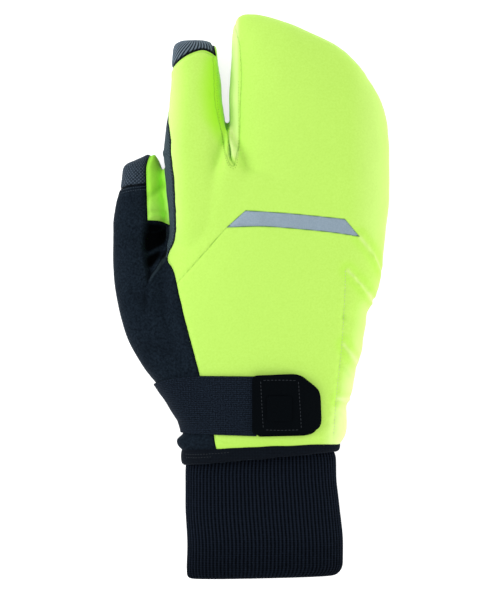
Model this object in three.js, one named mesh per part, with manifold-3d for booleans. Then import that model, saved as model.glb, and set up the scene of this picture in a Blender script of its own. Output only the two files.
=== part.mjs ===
// A padded trigger mitten for the right hand, lying palm down.
// One pouch holds three fingers, the index finger and the thumb have stalls of their own,
// a strap closes the wrist and a ribbed knit cuff carries on up the arm.
// Millimetres. X runs from the thumb to the little finger, Y from the cuff to the fingertips,
// Z from the palm to the back of the hand. The floor is Z = 0 and the middle of the footprint is the origin.

import * as THREE from "three";
import { mergeVertices } from "three/addons/utils/BufferGeometryUtils.js";
import Module from "manifold-3d";

const wasm = await Module();
wasm.setup();

// Driving dimensions
const SHELL_WALL = 3; // outer cloth, wadding and lining together
const SEAM_GAP = 0.3; // left between two panels, and between a piece and what it lies on
const FOLD_SQUARENESS = 2.5; // exponent of a section: 2 is an ellipse, more is boxier
const PRESSED_FLAT = 2; // how much the floor flattens a section's underside
const STRAP_THICKNESS = 1.8;
const TAB_THICKNESS = 2.4;
const STRAP_SEWN_Z = 12; // the strap starts in the side seam, this far above the floor
const CUFF_WALL = 3.2; // rib knit, folded double
const CUFF_RIB_PITCH = 2;
const CUFF_RIB_DEPTH = 0.45;
const CUFF_MIDDLE_Y = -108; // the ribs are counted round this section
const FORK_SPREAD = 5.5; // how much wider the fork's gusset is at the palm than at the back
const FORK_BACK_Z = 50;
const FORK_PALM_Z = 8;

// Where cutters end, outside the mitten
const HIGHEST = 60;
const UNDER_FLOOR = -1;
const FAR_X = 90;
const FAR_Y = 160;
const HOLLOW_RUN_OUT = 24; // the hollow of the hand runs on past the wrist
const CUFF_RUN_OUT = 10; // and the cuff's past both of its ends

const HAND_SIDES = 30;
const CUFF_SIDES = 32;

// Sections across the four soft tubes, from the wrist end to the fingertip end.
const HAND = [
  { y: -86, left: -33.5, right: 44.2, bottom: 1.2, top: 35 },
  { y: -80, left: -36.2, right: 45.4, bottom: 1, top: 36.5 },
  { y: -74, left: -37.6, right: 47.2, bottom: 0.6, top: 38 },
  { y: -69, left: -35.4, right: 49.2, bottom: 0.2, top: 38.8 },
  { y: -57, left: -38.4, right: 49.6, bottom: 0, top: 40.5 },
  { y: -42, left: -43, right: 53.8, bottom: 0, top: 43 },
  { y: -16, left: -46, right: 59.7, bottom: 0, top: 47 },
  { y: 2, left: -46, right: 65.2, bottom: 0, top: 49 },
  { y: 14, left: -45.5, right: 67.4, bottom: 0, top: 49.5 },
  { y: 34, left: -42.3, right: 69.7, bottom: 0, top: 49.5 },
  { y: 54, left: -43, right: 71.3, bottom: 0, top: 48.5 },
  { y: 62, left: -42, right: 70.6, bottom: 1, top: 46.5 },
  { y: 66.5, left: -39, right: 66, bottom: 6, top: 40 },
];
const POUCH = [
  { y: 30, left: -8, right: 66.5, bottom: 2.5, top: 46.5 },
  { y: 45, left: -10.6, right: 70, bottom: 0.6, top: 48 },
  { y: 60, left: -11.4, right: 71.6, bottom: 0, top: 48 },
  { y: 72, left: -11.5, right: 71.8, bottom: 0, top: 46.5 },
  { y: 87, left: -11.4, right: 71, bottom: 0, top: 43.5 },
  { y: 102, left: -11.2, right: 67.1, bottom: 0, top: 40 },
  { y: 113, left: -10.9, right: 60.8, bottom: 0, top: 36.5 },
  { y: 123, left: -10.5, right: 53.3, bottom: 0.5, top: 33 },
  { y: 131, left: -10.1, right: 43.6, bottom: 1, top: 29.5 },
  { y: 137, left: -9.5, right: 30, bottom: 2, top: 26 },
  { y: 142, left: -8.2, right: 18.4, bottom: 4.5, top: 22 },
  { y: 145.4, left: -6.4, right: 8.6, bottom: 7.5, top: 18 },
  { y: 146.9, left: -4, right: 2, bottom: 10.5, top: 14.5 },
];
const INDEX = [
  { y: 24, left: -41, right: -12, bottom: 1, top: 43 },
  { y: 40, left: -42.5, right: -11.5, bottom: 0, top: 46.5 },
  { y: 56, left: -43.9, right: -11, bottom: 0, top: 47 },
  { y: 71, left: -45.2, right: -10.9, bottom: 0, top: 44.5 },
  { y: 82, left: -44.7, right: -11.8, bottom: 0, top: 42.5 },
  { y: 92, left: -44.2, right: -13.2, bottom: 0, top: 40.5 },
  { y: 102, left: -43.2, right: -14.6, bottom: 0, top: 38 },
  { y: 112, left: -42.2, right: -15.6, bottom: 0.5, top: 35 },
  { y: 121, left: -41.6, right: -16.6, bottom: 1, top: 31.5 },
  { y: 127, left: -40.8, right: -17.3, bottom: 2.2, top: 28 },
  { y: 131, left: -38.3, right: -20, bottom: 4.5, top: 23.5 },
  { y: 132.9, left: -34.8, right: -25, bottom: 8, top: 19 },
];
const THUMB = [
  { y: -72, left: -33, right: -10, bottom: 2, top: 32 },
  { y: -66, left: -34.6, right: -11, bottom: 0.5, top: 34 },
  { y: -57, left: -39, right: -13, bottom: 0, top: 36 },
  { y: -49, left: -45, right: -16, bottom: 0, top: 37 },
  { y: -42, left: -50.4, right: -18, bottom: 0, top: 37.5 },
  { y: -38, left: -54.2, right: -20, bottom: 0, top: 37.5 },
  { y: -29, left: -60.2, right: -23, bottom: 0, top: 37 },
  { y: -15, left: -66, right: -29, bottom: 0, top: 36 },
  { y: 8, left: -70.7, right: -37, bottom: 0, top: 33.5 },
  { y: 25, left: -71.8, right: -42.2, bottom: 0, top: 31.5 },
  { y: 36, left: -71.8, right: -44, bottom: 0, top: 30.5 },
  { y: 47, left: -70.6, right: -45, bottom: 0, top: 29 },
  { y: 56, left: -68.2, right: -45.8, bottom: 0.5, top: 27 },
  { y: 64, left: -66.8, right: -47, bottom: 1, top: 24 },
  { y: 69.5, left: -63.6, right: -48.6, bottom: 3.5, top: 20.5 },
  { y: 73.1, left: -57, right: -51.5, bottom: 8, top: 15 },
];
const CUFF = [
  { y: -146.9, left: -30.5, right: 43.4, bottom: 1.5, top: 26.5 },
  { y: -142, left: -33, right: 47, bottom: 0, top: 28.8 },
  { y: -108, left: -33.5, right: 45.6, bottom: 0, top: 31 },
  { y: -90, left: -33.7, right: 44.2, bottom: 2, top: 31.4 },
  { y: -85, left: -31, right: 42, bottom: 5, top: 30.8 },
  { y: -73, left: -30.4, right: 40.8, bottom: 6.2, top: 30.4 },
];
// The binding's roll: how far along it each ring is, and how far it stands off the shell's edge.
const HEM_ROLL = [
  { along: 0, proud: 0.7 },
  { along: 0.25, proud: 1.8 },
  { along: 0.75, proud: 1.8 },
  { along: 1, proud: 0.7 },
];
const HEM_TOP = { y: -77.6, slope: 0.05 };
const HEM_BOTTOM = { y: -83.4, slope: 0.088 };
const HEM_CENTRE_X = 5;

// The seam between the back and the side, which the skin's own slope leans over. Where no height is
// given it lies on the back of the mitten.
const BACK_EDGE = [
  { x: -43.2, y: 123, z: 14 },
  { x: -43.6, y: 112, z: 18 },
  { x: -43.4, y: 95, z: 21.5 },
  { x: -42.2, y: 84 },
  { x: -41.3, y: 70.7 },
  { x: -40, y: 58 },
  { x: -39.2, y: 45 },
  { x: -39.5, y: 30 },
  { x: -43.2, y: 20 },
  { x: -38.6, y: 7 },
  { x: -32, y: -20 },
  { x: -26.4, y: -41 },
  { x: -16, y: -84.9 },
];
// The other seams, in plan: each outline runs along the seam and closes outside the cloth.
const SIDEWALL_AREA = [[-FAR_X, 19.6], [0, 19.6], [0, FAR_Y], [-FAR_X, FAR_Y]];
const FINGERS_AREA = [
  [-55, -12], [-12.6, 35.7], [4.7, 36.3], [20.8, 35.3], [41.1, 33.4], [56.1, 31.4], [62.9, 22.1], [67, 14.2],
  [72, 6], [FAR_X, 6], [FAR_X, FAR_Y], [-60, FAR_Y],
];
const STRIP_AREA = [
  [-13, 34], [-12.6, 35.7], [-2.8, 44.6], [20.8, 43.1], [48.5, 40.5], [56.1, 31.4], [56.3, 29], [20, 30],
];
const GATHER_AREA = [
  [48.4, 14.6], [48, 0], [46.6, -25], [44.4, -46], [41.5, -90], [60, -95], [85, -20], [67, -7], [59, 3.4],
  [53.7, 9],
];
const THUMB_AREA = [
  [-45.4, 85], [-45.8, 72], [-45.6, 63], [-44.8, 56], [-43.8, 47], [-43, 38], [-44.4, 22], [-49.9, 13.8],
  [-53.3, 6.5], [-55, -7], [-54, -22], [-49, -38], [-43.5, -50], [-37, -60], [-44, -68], [-85, -68],
  [-85, 85],
];
const THUMB_PANEL = [
  [-51.6, 80], [-51.8, 71.4], [-54, 65], [-53.6, 53], [-53, 41.4], [-47, 40.6], [-40, 40], [-40, 80],
];
const THUMB_PATCH = [[-76, 55.4], [-66, 57.2], [-54, 58.4], [-40, 58.9], [-40, 80], [-76, 80]];
const FINGERTIP_CAP = [
  [-48, 113], [-40.2, 118.9], [-36.9, 121.9], [-31.7, 125.3], [-25.5, 127.4], [-21.3, 126.4], [-17.7, 123.9],
  [-13, 121], [-13, 140], [-48, 140],
];
// The gusset between the index finger and the pouch, where its seams would meet the height of the back
const FORK_AREA = [
  [-15.6, 130], [-16, 104], [-14.6, 92], [-13, 84], [-11.8, 74], [-9.8, 69.6], [-8.4, 72], [-8, 84],
  [-8, 115], [-9.5, 130], [-15, 146],
];
// Height of the side seam between the palm and the back, along the mitten
const SIDE_SEAM = [
  { y: -95, z: 13 },
  { y: 55, z: 14.5 },
  { y: 100, z: 12 },
  { y: 135, z: 8 },
  { y: 155, z: 6 },
];
const THUMB_SIDE_SEAM_Z = 9.5;

// Strap and tab in plan
const STRAP_AREA = [[-70, -42.8], [-43.2, -41.9], [-26, -41.2], [1, -41.2], [1, -72.2], [-70, -70.8]];
const TAB_AREA = [
  [1.4, -41.2], [22, -40.2], [26, -41.2], [34.8, -48.2], [35.8, -51.6], [36.2, -65.4], [32.6, -69.8],
  [27.8, -71.3], [1.4, -72.3],
];

const TUBES = [
  { rows: HAND, sides: HAND_SIDES, sidesInside: 20 },
  { rows: POUCH, sides: 28, sidesInside: 18 },
  { rows: INDEX, sides: 20, sidesInside: 14 },
  { rows: THUMB, sides: 20, sidesInside: 14 },
];

const mix = THREE.MathUtils.lerp;
const COLUMNS = ["y", "left", "right", "bottom", "top"];

// The section that much smaller all round; a negative wall makes it bigger.
function inset(rows, wall) {
  return rows
    .map((r) => ({
      y: r.y - wall,
      left: r.left + wall,
      right: r.right - wall,
      bottom: r.bottom + wall,
      top: r.top - wall,
    }))
    .filter((r) => r.right - r.left > wall && r.top - r.bottom > wall);
}

// The middle and half sizes of a section's squared ellipse, before the floor flattens it.
function oval(section) {
  const low = section.bottom - PRESSED_FLAT;
  return {
    x: (section.left + section.right) / 2,
    z: (low + section.top) / 2,
    halfWidth: (section.right - section.left) / 2,
    halfHeight: (section.top - low) / 2,
  };
}

// Points round a section at equal steps. Every second one sinks by ribDepth.
function ring(section, count, { ribDepth = 0, shift = () => 0 } = {}) {
  const FINE_STEPS = 240;
  const o = oval(section);
  const power = 2 / FOLD_SQUARENESS;
  const bend = (v) => Math.sign(v) * Math.abs(v) ** power;
  const fine = Array.from({ length: FINE_STEPS + 1 }, (_, i) => {
    const angle = (i / FINE_STEPS) * 2 * Math.PI;
    const x = o.x + o.halfWidth * bend(Math.cos(angle));
    const z = Math.max(o.z + o.halfHeight * bend(Math.sin(angle)), section.bottom);
    return new THREE.Vector3(x, section.y + shift(x), z);
  });
  const path = new THREE.CurvePath();
  fine.slice(1).forEach((p, i) => path.add(new THREE.LineCurve3(fine[i], p)));
  const middle = new THREE.Vector3(o.x, section.y, o.z);
  return path
    .getSpacedPoints(count)
    .slice(0, count)
    .map((p, i) => (i % 2 ? p.addScaledVector(p.clone().sub(middle).normalize(), -ribDepth) : p));
}

// A closed manifold-3d solid from a three.js geometry.
function solidFrom(geometry) {
  geometry.deleteAttribute("normal");
  geometry.deleteAttribute("uv");
  const merged = mergeVertices(geometry);
  return new wasm.Manifold(
    new wasm.Mesh({
      numProp: 3,
      vertProperties: new Float32Array(merged.attributes.position.array),
      triVerts: new Uint32Array(merged.index.array),
    }),
  );
}

// A skin over rings of equal count, with a fan at each end.
function loft(rings) {
  const count = rings[0].length;
  const last = rings.length - 1;
  const ends = [rings[0], rings[last]].map((points) =>
    points.reduce((sum, p) => sum.add(p), new THREE.Vector3()).divideScalar(count),
  );
  const firstCentre = rings.length * count;
  const index = [];
  for (let i = 0; i < count; i++) {
    const next = (i + 1) % count;
    for (let r = 0; r < last; r++) {
      const [a, b, c, d] = [r * count + i, r * count + next, (r + 1) * count + i, (r + 1) * count + next];
      index.push(a, c, d, a, d, b);
    }
    index.push(firstCentre, i, next, firstCentre + 1, last * count + next, last * count + i);
  }
  const geometry = new THREE.BufferGeometry().setFromPoints([...rings.flat(), ...ends]);
  geometry.setIndex(index);
  return solidFrom(geometry);
}

const tube = (rows, count) => loft(rows.map((row) => ring(row, count)));

// The whole mitten's outer form, grown by that much, without the cuff.
const join = (solids) => solids.reduce((all, solid) => all.add(solid));
const form = (grow) => join(TUBES.map(({ rows, sides }) => tube(inset(rows, -grow), sides)));

// An upright prism over an outline in plan
function prism(outline, low = UNDER_FLOOR, high = HIGHEST) {
  const shape = new THREE.Shape(outline.map(([x, y]) => new THREE.Vector2(x, y)));
  const geometry = new THREE.ExtrudeGeometry(shape, { depth: high - low, bevelEnabled: false });
  return solidFrom(geometry.translate(0, 0, low));
}

// A closed outline in plan, grown by that much all round
function offset(outline, distance) {
  const points = outline.map(([x, y]) => new THREE.Vector2(x, y));
  const turn = Math.sign(THREE.ShapeUtils.area(points));
  return points.map((p, i) => {
    const into = p.clone().sub(points.at(i - 1)).normalize();
    const outOf = points[(i + 1) % points.length].clone().sub(p).normalize();
    const along = into.add(outOf).normalize();
    const spread = (turn * distance) / Math.max(0.5, along.dot(outOf));
    return [p.x + along.y * spread, p.y - along.x * spread];
  });
}

function sectionAt(rows, y) {
  if (y < rows[0].y || y > rows.at(-1).y) return null;
  const i = Math.max(1, rows.findIndex((r) => r.y >= y));
  const share = (y - rows[i - 1].y) / (rows[i].y - rows[i - 1].y);
  return Object.fromEntries(COLUMNS.map((c) => [c, mix(rows[i - 1][c], rows[i][c], share)]));
}

// How far out a point is in the nearest of some tubes: 1 on its skin, less inside.
function outness(p, tubes) {
  const all = tubes.map((rows) => {
    const o = oval(sectionAt(rows, THREE.MathUtils.clamp(p.y, rows[0].y, rows.at(-1).y)));
    const across = Math.abs((p.x - o.x) / o.halfWidth) ** FOLD_SQUARENESS;
    const upwards = Math.abs((p.z - o.z) / o.halfHeight) ** FOLD_SQUARENESS;
    return across + upwards + Math.max(0, p.y - rows.at(-1).y, rows[0].y - p.y);
  });
  return Math.min(...all);
}

function outward(p, tubes) {
  const axes = [new THREE.Vector3(1, 0, 0), new THREE.Vector3(0, 1, 0), new THREE.Vector3(0, 0, 1)];
  const at = (step) => outness(p.clone().add(step), tubes);
  const slopes = axes.map((axis) => at(axis) - at(axis.clone().negate()));
  return new THREE.Vector3(...slopes).normalize();
}

function heightOfBack(x, y, tubes) {
  const heights = tubes.map((rows) => {
    const section = sectionAt(rows, y);
    if (!section) return 0;
    const o = oval(section);
    const across = Math.min(1, Math.abs((x - o.x) / o.halfWidth)) ** FOLD_SQUARENESS;
    return o.z + o.halfHeight * (1 - across) ** (1 / FOLD_SQUARENESS);
  });
  return Math.max(...heights);
}

// A ribbon, one seam gap thick, square through the wall along a seam. Both of its faces are split into
// triangles the same way, so that it keeps its thickness where it twists.
function ribbon(seam, tubes) {
  const REACH_OUT = 4;
  const REACH_IN = SHELL_WALL + 4;
  const points = seam.map(({ x, y, z }) => new THREE.Vector3(x, y, z ?? heightOfBack(x, y, tubes)));
  const normals = points.map((p) => outward(p, tubes));
  const face = (sign) =>
    points.flatMap((p, i) => {
      const along = points[Math.min(i + 1, points.length - 1)].clone().sub(points[Math.max(i - 1, 0)]);
      const aside = along.cross(normals[i]).setLength((sign * SEAM_GAP) / 2).add(p);
      return [REACH_OUT, -REACH_IN].map((reach) => aside.clone().addScaledVector(normals[i], reach));
    });
  const other = 2 * points.length;
  const index = [];
  const wall = (a, b, c, d) => index.push(a, b, c, a, c, d);
  for (let i = 0; i < points.length - 1; i++) {
    const [outer, inner, nextOuter, nextInner] = [2 * i, 2 * i + 1, 2 * i + 2, 2 * i + 3];
    index.push(outer, inner, nextInner, outer, nextInner, nextOuter);
    const back = [outer, nextInner, inner, outer, nextOuter, nextInner];
    index.push(...back.map((i) => other + i));
    wall(outer, nextOuter, other + nextOuter, other + outer);
    wall(nextInner, inner, other + inner, other + nextInner);
  }
  wall(1, 0, other, other + 1);
  wall(other - 2, other - 1, 2 * other - 1, 2 * other - 2);
  const geometry = new THREE.BufferGeometry().setFromPoints([...face(1), ...face(-1)]);
  geometry.setIndex(index);
  return solidFrom(geometry);
}

const materials = {
  softshell: { color: 0xc9f86a, roughness: 0.75 },
  suede: { color: 0x161f28, roughness: 0.9 },
  charcoalKnit: { color: 0x3a494f, roughness: 0.85 },
  gripKnit: { color: 0x48545c, roughness: 0.7 },
  reflective: { color: 0x97aab9, roughness: 0.35, metalness: 0.4 },
  webbing: { color: 0x131a24, roughness: 0.8 },
  hookTab: { color: 0x0a0e12, roughness: 0.6 },
  binding: { color: 0x12161f, roughness: 0.8 },
  ribKnit: { color: 0x10141d, roughness: 0.95 },
};

const mitten = new THREE.Group();

const bodiesBySize = (solid) => solid.decompose().sort((a, b) => b.volume() - a.volume());

// Adds a piece without the crumbs that cuts which cross leave beside it.
function addPiece(name, solid, material) {
  const [body] = bodiesBySize(solid);
  const { numProp, vertProperties, triVerts } = body.getMesh();
  const interleaved = new THREE.InterleavedBuffer(vertProperties, numProp);
  const geometry = new THREE.BufferGeometry();
  geometry.setAttribute("position", new THREE.InterleavedBufferAttribute(interleaved, 3, 0));
  geometry.setIndex(new THREE.BufferAttribute(triVerts, 1));
  geometry.computeVertexNormals();
  const mesh = new THREE.Mesh(geometry, new THREE.MeshStandardMaterial(material));
  mesh.name = name;
  mitten.add(mesh);
}

// The hollow shell, open at the wrist. The lining follows every second section.
const pastWrist = { ...HAND[0], y: HAND[0].y - HOLLOW_RUN_OUT };
const hollow = join(
  TUBES.map(({ rows, sidesInside }) => {
    const lining = rows.filter((_, i) => i % 2 === 0 || i === rows.length - 1);
    return tube(inset(rows === HAND ? [pastWrist, ...lining] : lining, SHELL_WALL), sidesInside);
  }),
);
const hemSlope = (HEM_TOP.slope + HEM_BOTTOM.slope) / 2;
const hemY = (x) => (HEM_TOP.y + HEM_BOTTOM.y) / 2 + hemSlope * (x - HEM_CENTRE_X);
const belowHem = prism([[-FAR_X, -FAR_Y], [FAR_X, -FAR_Y], [FAR_X, hemY(FAR_X)], [-FAR_X, hemY(-FAR_X)]]);
const shell = form(0).subtract(hollow).subtract(belowHem);

// Cutters: each takes how much it is grown by
const above = (outline, low = UNDER_FLOOR) => (grow) => prism(offset(outline, grow), low - grow);
const forkAt = (z, grow) => offset(FORK_AREA, grow).map(([x, y]) => new THREE.Vector3(x, y, z));
const forkCutter = (grow) => loft([forkAt(FORK_BACK_Z, grow), forkAt(FORK_PALM_Z, grow + FORK_SPREAD)]);
function underSideSeam(grow) {
  const seam = SIDE_SEAM.map(({ y, z }) => new THREE.Vector2(y, z + grow));
  const foot = [seam.at(-1), seam[0]].map(({ x }) => new THREE.Vector2(x, UNDER_FLOOR));
  const shape = new THREE.Shape([...seam, ...foot]);
  const geometry = new THREE.ExtrudeGeometry(shape, { depth: 2 * FAR_X, bevelEnabled: false });
  // The profile is drawn in Y and Z, and runs along X.
  const turn = new THREE.Matrix4().set(0, 0, 1, -FAR_X, 1, 0, 0, 0, 0, 1, 0, 0, 0, 0, 0, 1);
  return solidFrom(geometry.applyMatrix4(turn));
}

// What lies inside a cutter and what lies outside it, with the seam's gap between them
const split = (solid, cutter) => ({
  inside: solid.intersect(cutter(-SEAM_GAP / 2)),
  outside: solid.subtract(cutter(SEAM_GAP / 2)),
});

// The thumb stall, with its neon back and the patch at its tip
const { inside: thumbStall, outside: handShell } = split(shell, above(THUMB_AREA));
const { inside: thumbBack, outside: thumbRest } = split(thumbStall, above(THUMB_PANEL, THUMB_SIDE_SEAM_Z));
const { inside: thumbPatch, outside: thumb } = split(thumbRest, above(THUMB_PATCH));
addPiece("thumb", thumb, materials.suede);
addPiece("thumb_back_panel", thumbBack, materials.softshell);
addPiece("thumb_tip_patch", thumbPatch, materials.gripKnit);

// The fingertip cap all round the end of the index stall, the palm, and the fork's gusset
const { inside: cap, outside: belowCap } = split(handShell, above(FINGERTIP_CAP));
const { inside: palm, outside: upper } = split(belowCap, underSideSeam);
const { inside: gusset, outside: aroundFork } = split(upper, forkCutter);
addPiece("fingertip_cap", cap, materials.gripKnit);
addPiece("palm", palm, materials.suede);
addPiece("fork_gusset", gusset, materials.softshell);

// The back, and the side wall and heel that its thumb-side edge leaves
const [back, ...side] = bodiesBySize(aroundFork.subtract(ribbon(BACK_EDGE, [HAND, INDEX])));
const { inside: sidewall, outside: heel } = split(join(side), above(SIDEWALL_AREA));
addPiece("index_sidewall", sidewall, materials.charcoalKnit);
addPiece("heel_wrap", heel, materials.suede);

// The neon panels of the back, and the reflective strip set into them
const { inside: fingers, outside: hand } = split(back, above(FINGERS_AREA));
const { inside: strip, outside: fingerPanel } = split(fingers, above(STRIP_AREA));
const { inside: gather, outside: handPanel } = split(hand, above(GATHER_AREA));
addPiece("finger_panel", fingerPanel, materials.softshell);
addPiece("hand_panel", handPanel, materials.softshell);
addPiece("gather_panel", gather, materials.softshell);
addPiece("reflective_strip", strip, materials.reflective);

// The knit cuff, ribbed outside, tucked into the shell and open at both ends
const cuffMiddle = ring(sectionAt(CUFF, CUFF_MIDDLE_Y), 2 * CUFF_SIDES);
const cuffGirth = new THREE.CatmullRomCurve3(cuffMiddle, true).getLength();
const cuffSteps = 2 * Math.round(cuffGirth / CUFF_RIB_PITCH);
const cuffOutside = loft(CUFF.map((row) => ring(row, cuffSteps, { ribDepth: CUFF_RIB_DEPTH })));
const hollowRows = inset(CUFF, CUFF_WALL);
const belowMouth = { ...hollowRows[0], y: hollowRows[0].y - CUFF_RUN_OUT };
const aboveTop = { ...hollowRows.at(-1), y: hollowRows.at(-1).y + CUFF_RUN_OUT };
const cuffHollow = tube([belowMouth, ...hollowRows.slice(1, -1), aboveTop], CUFF_SIDES);
addPiece("knit_cuff", cuffOutside.subtract(cuffHollow), materials.ribKnit);

// The binding rolled over the shell's edge
const hemRings = HEM_ROLL.toReversed().map(({ along, proud }) => {
  const y = mix(HEM_TOP.y, HEM_BOTTOM.y, along);
  const slope = mix(HEM_TOP.slope, HEM_BOTTOM.slope, along);
  const section = { ...sectionAt(inset(HAND, -proud), y + proud), y };
  return ring(section, CUFF_SIDES, { shift: (x) => slope * (x - HEM_CENTRE_X) });
});
const cuffRoom = tube(inset(CUFF, -2 * SEAM_GAP), CUFF_SIDES);
const shellRoom = tube(inset(HAND, -SEAM_GAP), HAND_SIDES).subtract(belowHem.translate([0, -SEAM_GAP, 0]));
const wholeFloor = [[-FAR_X, -FAR_Y], [FAR_X, -FAR_Y], [FAR_X, FAR_Y], [-FAR_X, FAR_Y]];
const hem = loft(hemRings).subtract(shellRoom).subtract(cuffRoom).intersect(prism(wholeFloor, 0));
addPiece("hem_band", hem, materials.binding);

// The elastic strap over the back of the wrist, and the hook tab at its end
const overShell = (thickness, area) =>
  form(SEAM_GAP + thickness).subtract(form(SEAM_GAP)).intersect(prism(area, STRAP_SEWN_Z));
addPiece("wrist_strap", overShell(STRAP_THICKNESS, STRAP_AREA), materials.webbing);
addPiece("strap_tab", overShell(TAB_THICKNESS, TAB_AREA), materials.hookTab);

export default mitten;
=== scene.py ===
# %% [markdown]
# # A padded trigger mitten
#
# The CAD model already holds every piece of this mitten at its true size and place. What it lacks is
# cloth: puffed panels, seams that pull in, stitches, ribs, nap and weave. This lesson adds them, piece
# by piece, around the CAD frame. All tables are in millimetres and become metres at the last step.

# %% Tools, frame and units
import math

import bpy
import numpy as np
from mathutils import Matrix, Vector, kdtree, noise
from mathutils.bvhtree import BVHTree


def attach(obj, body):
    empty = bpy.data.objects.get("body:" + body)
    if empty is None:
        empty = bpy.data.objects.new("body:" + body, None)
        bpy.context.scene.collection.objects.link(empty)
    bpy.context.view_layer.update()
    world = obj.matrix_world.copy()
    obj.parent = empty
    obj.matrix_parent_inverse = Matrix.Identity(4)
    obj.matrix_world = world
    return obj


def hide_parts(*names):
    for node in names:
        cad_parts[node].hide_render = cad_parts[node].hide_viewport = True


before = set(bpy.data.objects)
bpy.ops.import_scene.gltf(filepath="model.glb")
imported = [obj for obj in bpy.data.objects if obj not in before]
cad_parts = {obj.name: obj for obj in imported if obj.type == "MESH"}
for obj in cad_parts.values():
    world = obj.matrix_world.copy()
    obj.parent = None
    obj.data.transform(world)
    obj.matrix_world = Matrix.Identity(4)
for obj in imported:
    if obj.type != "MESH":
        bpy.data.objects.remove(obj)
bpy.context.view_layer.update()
scene = bpy.context.scene
MM = 0.001
print("CAD nodes:", len(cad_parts))


# %% [markdown]
# ## Camera, floor and light
#
# The photograph looks straight down on the mitten from far away, so a long lens shows it nearly
# without perspective. A bright sky gives even light from all round, one wide lamp above models the
# folds, and a low lamp on each side lights the rims. The floor comes with the materials.

# %% Camera
VIEW_HEIGHT_MM = 310.6  # what the long side of the picture covers
LENS_MM = 200
SENSOR_MM = 36
MIDDLE_X, MIDDLE_Y, MIDDLE_Z = -1.56, -1.82, 25  # the point in the middle of the picture

distance = VIEW_HEIGHT_MM * LENS_MM / SENSOR_MM
camera_data = bpy.data.cameras.new("camera")
camera_data.lens = LENS_MM
camera_data.sensor_width = SENSOR_MM
camera_data.clip_end = 10
camera = bpy.data.objects.new("camera", camera_data)
camera.location = Vector((MIDDLE_X, MIDDLE_Y, MIDDLE_Z + distance)) * MM
scene.collection.objects.link(camera)
scene.camera = camera
scene.view_settings.view_transform = "Standard"
print("camera height", round(camera.location.z, 3), "m")


# %% Lamps and sky
SKY_STRENGTH = 0.76


def lamp(name, place, size, watts, tint=(1, 1, 1)):
    """A square lamp, turned towards the mitten."""
    data = bpy.data.lights.new(name, "AREA")
    data.size = size
    data.energy = watts
    data.color = tint
    obj = bpy.data.objects.new(name, data)
    obj.location = place
    obj.rotation_euler = (-Vector(place)).to_track_quat("-Z", "Y").to_euler()
    scene.collection.objects.link(obj)


lamp("lamp_above", (-0.5, 0.5, 1.4), 1.0, 4)
lamp("lamp_right", (1.2, -0.5, 0.3), 0.7, 6.5)
lamp("lamp_left", (-1.1, 0.15, 0.65), 0.7, 6.5, (0.9, 0.95, 1))

world = bpy.data.worlds.new("pale_studio")
world.use_nodes = True
world.node_tree.nodes["Background"].inputs["Color"].default_value = (1, 1, 1, 1)
world.node_tree.nodes["Background"].inputs["Strength"].default_value = SKY_STRENGTH
scene.world = world
print("lamps:", len(bpy.data.lights))


# %% [markdown]
# ## Small helpers
#
# Every soft piece is made from points in NumPy tables, so the first helpers read and write them, in
# millimetres. Another adds a modifier and applies it at once, which is what the Apply button does.

# %% Helpers for meshes
def pick(obj):
    """Selects one object alone, for the operators that act on the selection."""
    bpy.ops.object.select_all(action="DESELECT")
    obj.select_set(True)
    bpy.context.view_layer.objects.active = obj


def make(name, points, faces):
    """A mesh object from points in millimetres."""
    mesh = bpy.data.meshes.new(name)
    mesh.from_pydata((np.asarray(points) * MM).tolist(), [], faces)
    obj = bpy.data.objects.new(name, mesh)
    scene.collection.objects.link(obj)
    return obj


def copy_of(obj, name):
    twin = bpy.data.objects.new(name, obj.data.copy())
    scene.collection.objects.link(twin)
    return twin


def points_of(obj):
    flat = np.empty(len(obj.data.vertices) * 3, np.float32)
    obj.data.vertices.foreach_get("co", flat)
    return flat.reshape(-1, 3).astype(float) / MM


def normals_of(obj):
    flat = np.empty(len(obj.data.vertices) * 3, np.float32)
    obj.data.vertex_normals.foreach_get("vector", flat)
    return flat.reshape(-1, 3).astype(float)


def edges_of(obj):
    flat = np.empty(len(obj.data.edges) * 2, np.int32)
    obj.data.edges.foreach_get("vertices", flat)
    return flat.reshape(-1, 2)


def move(obj, points):
    obj.data.vertices.foreach_set("co", (points * MM).astype(np.float32).ravel())
    obj.data.update()


def apply_new(obj, kind, **settings):
    pick(obj)
    modifier = obj.modifiers.new(kind.lower(), kind)
    for key, value in settings.items():
        setattr(modifier, key, value)
    bpy.ops.object.modifier_apply(modifier=modifier.name)


def drop(obj):
    """Removes an object and its mesh."""
    mesh = obj.data
    bpy.data.objects.remove(obj)
    bpy.data.meshes.remove(mesh)


# %% [markdown]
# ## The tables of sections
#
# The mitten is four soft tubes that run into each other: the hand, the pouch for three fingers, the
# index finger and the thumb. A fifth and smaller one is the padding that closes the fork between
# finger and pouch at its lower end. Each row is one cross-section: its place along the mitten, its
# left and right side, its underside and its top. The sizes are the CAD model's, in smaller steps.

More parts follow.
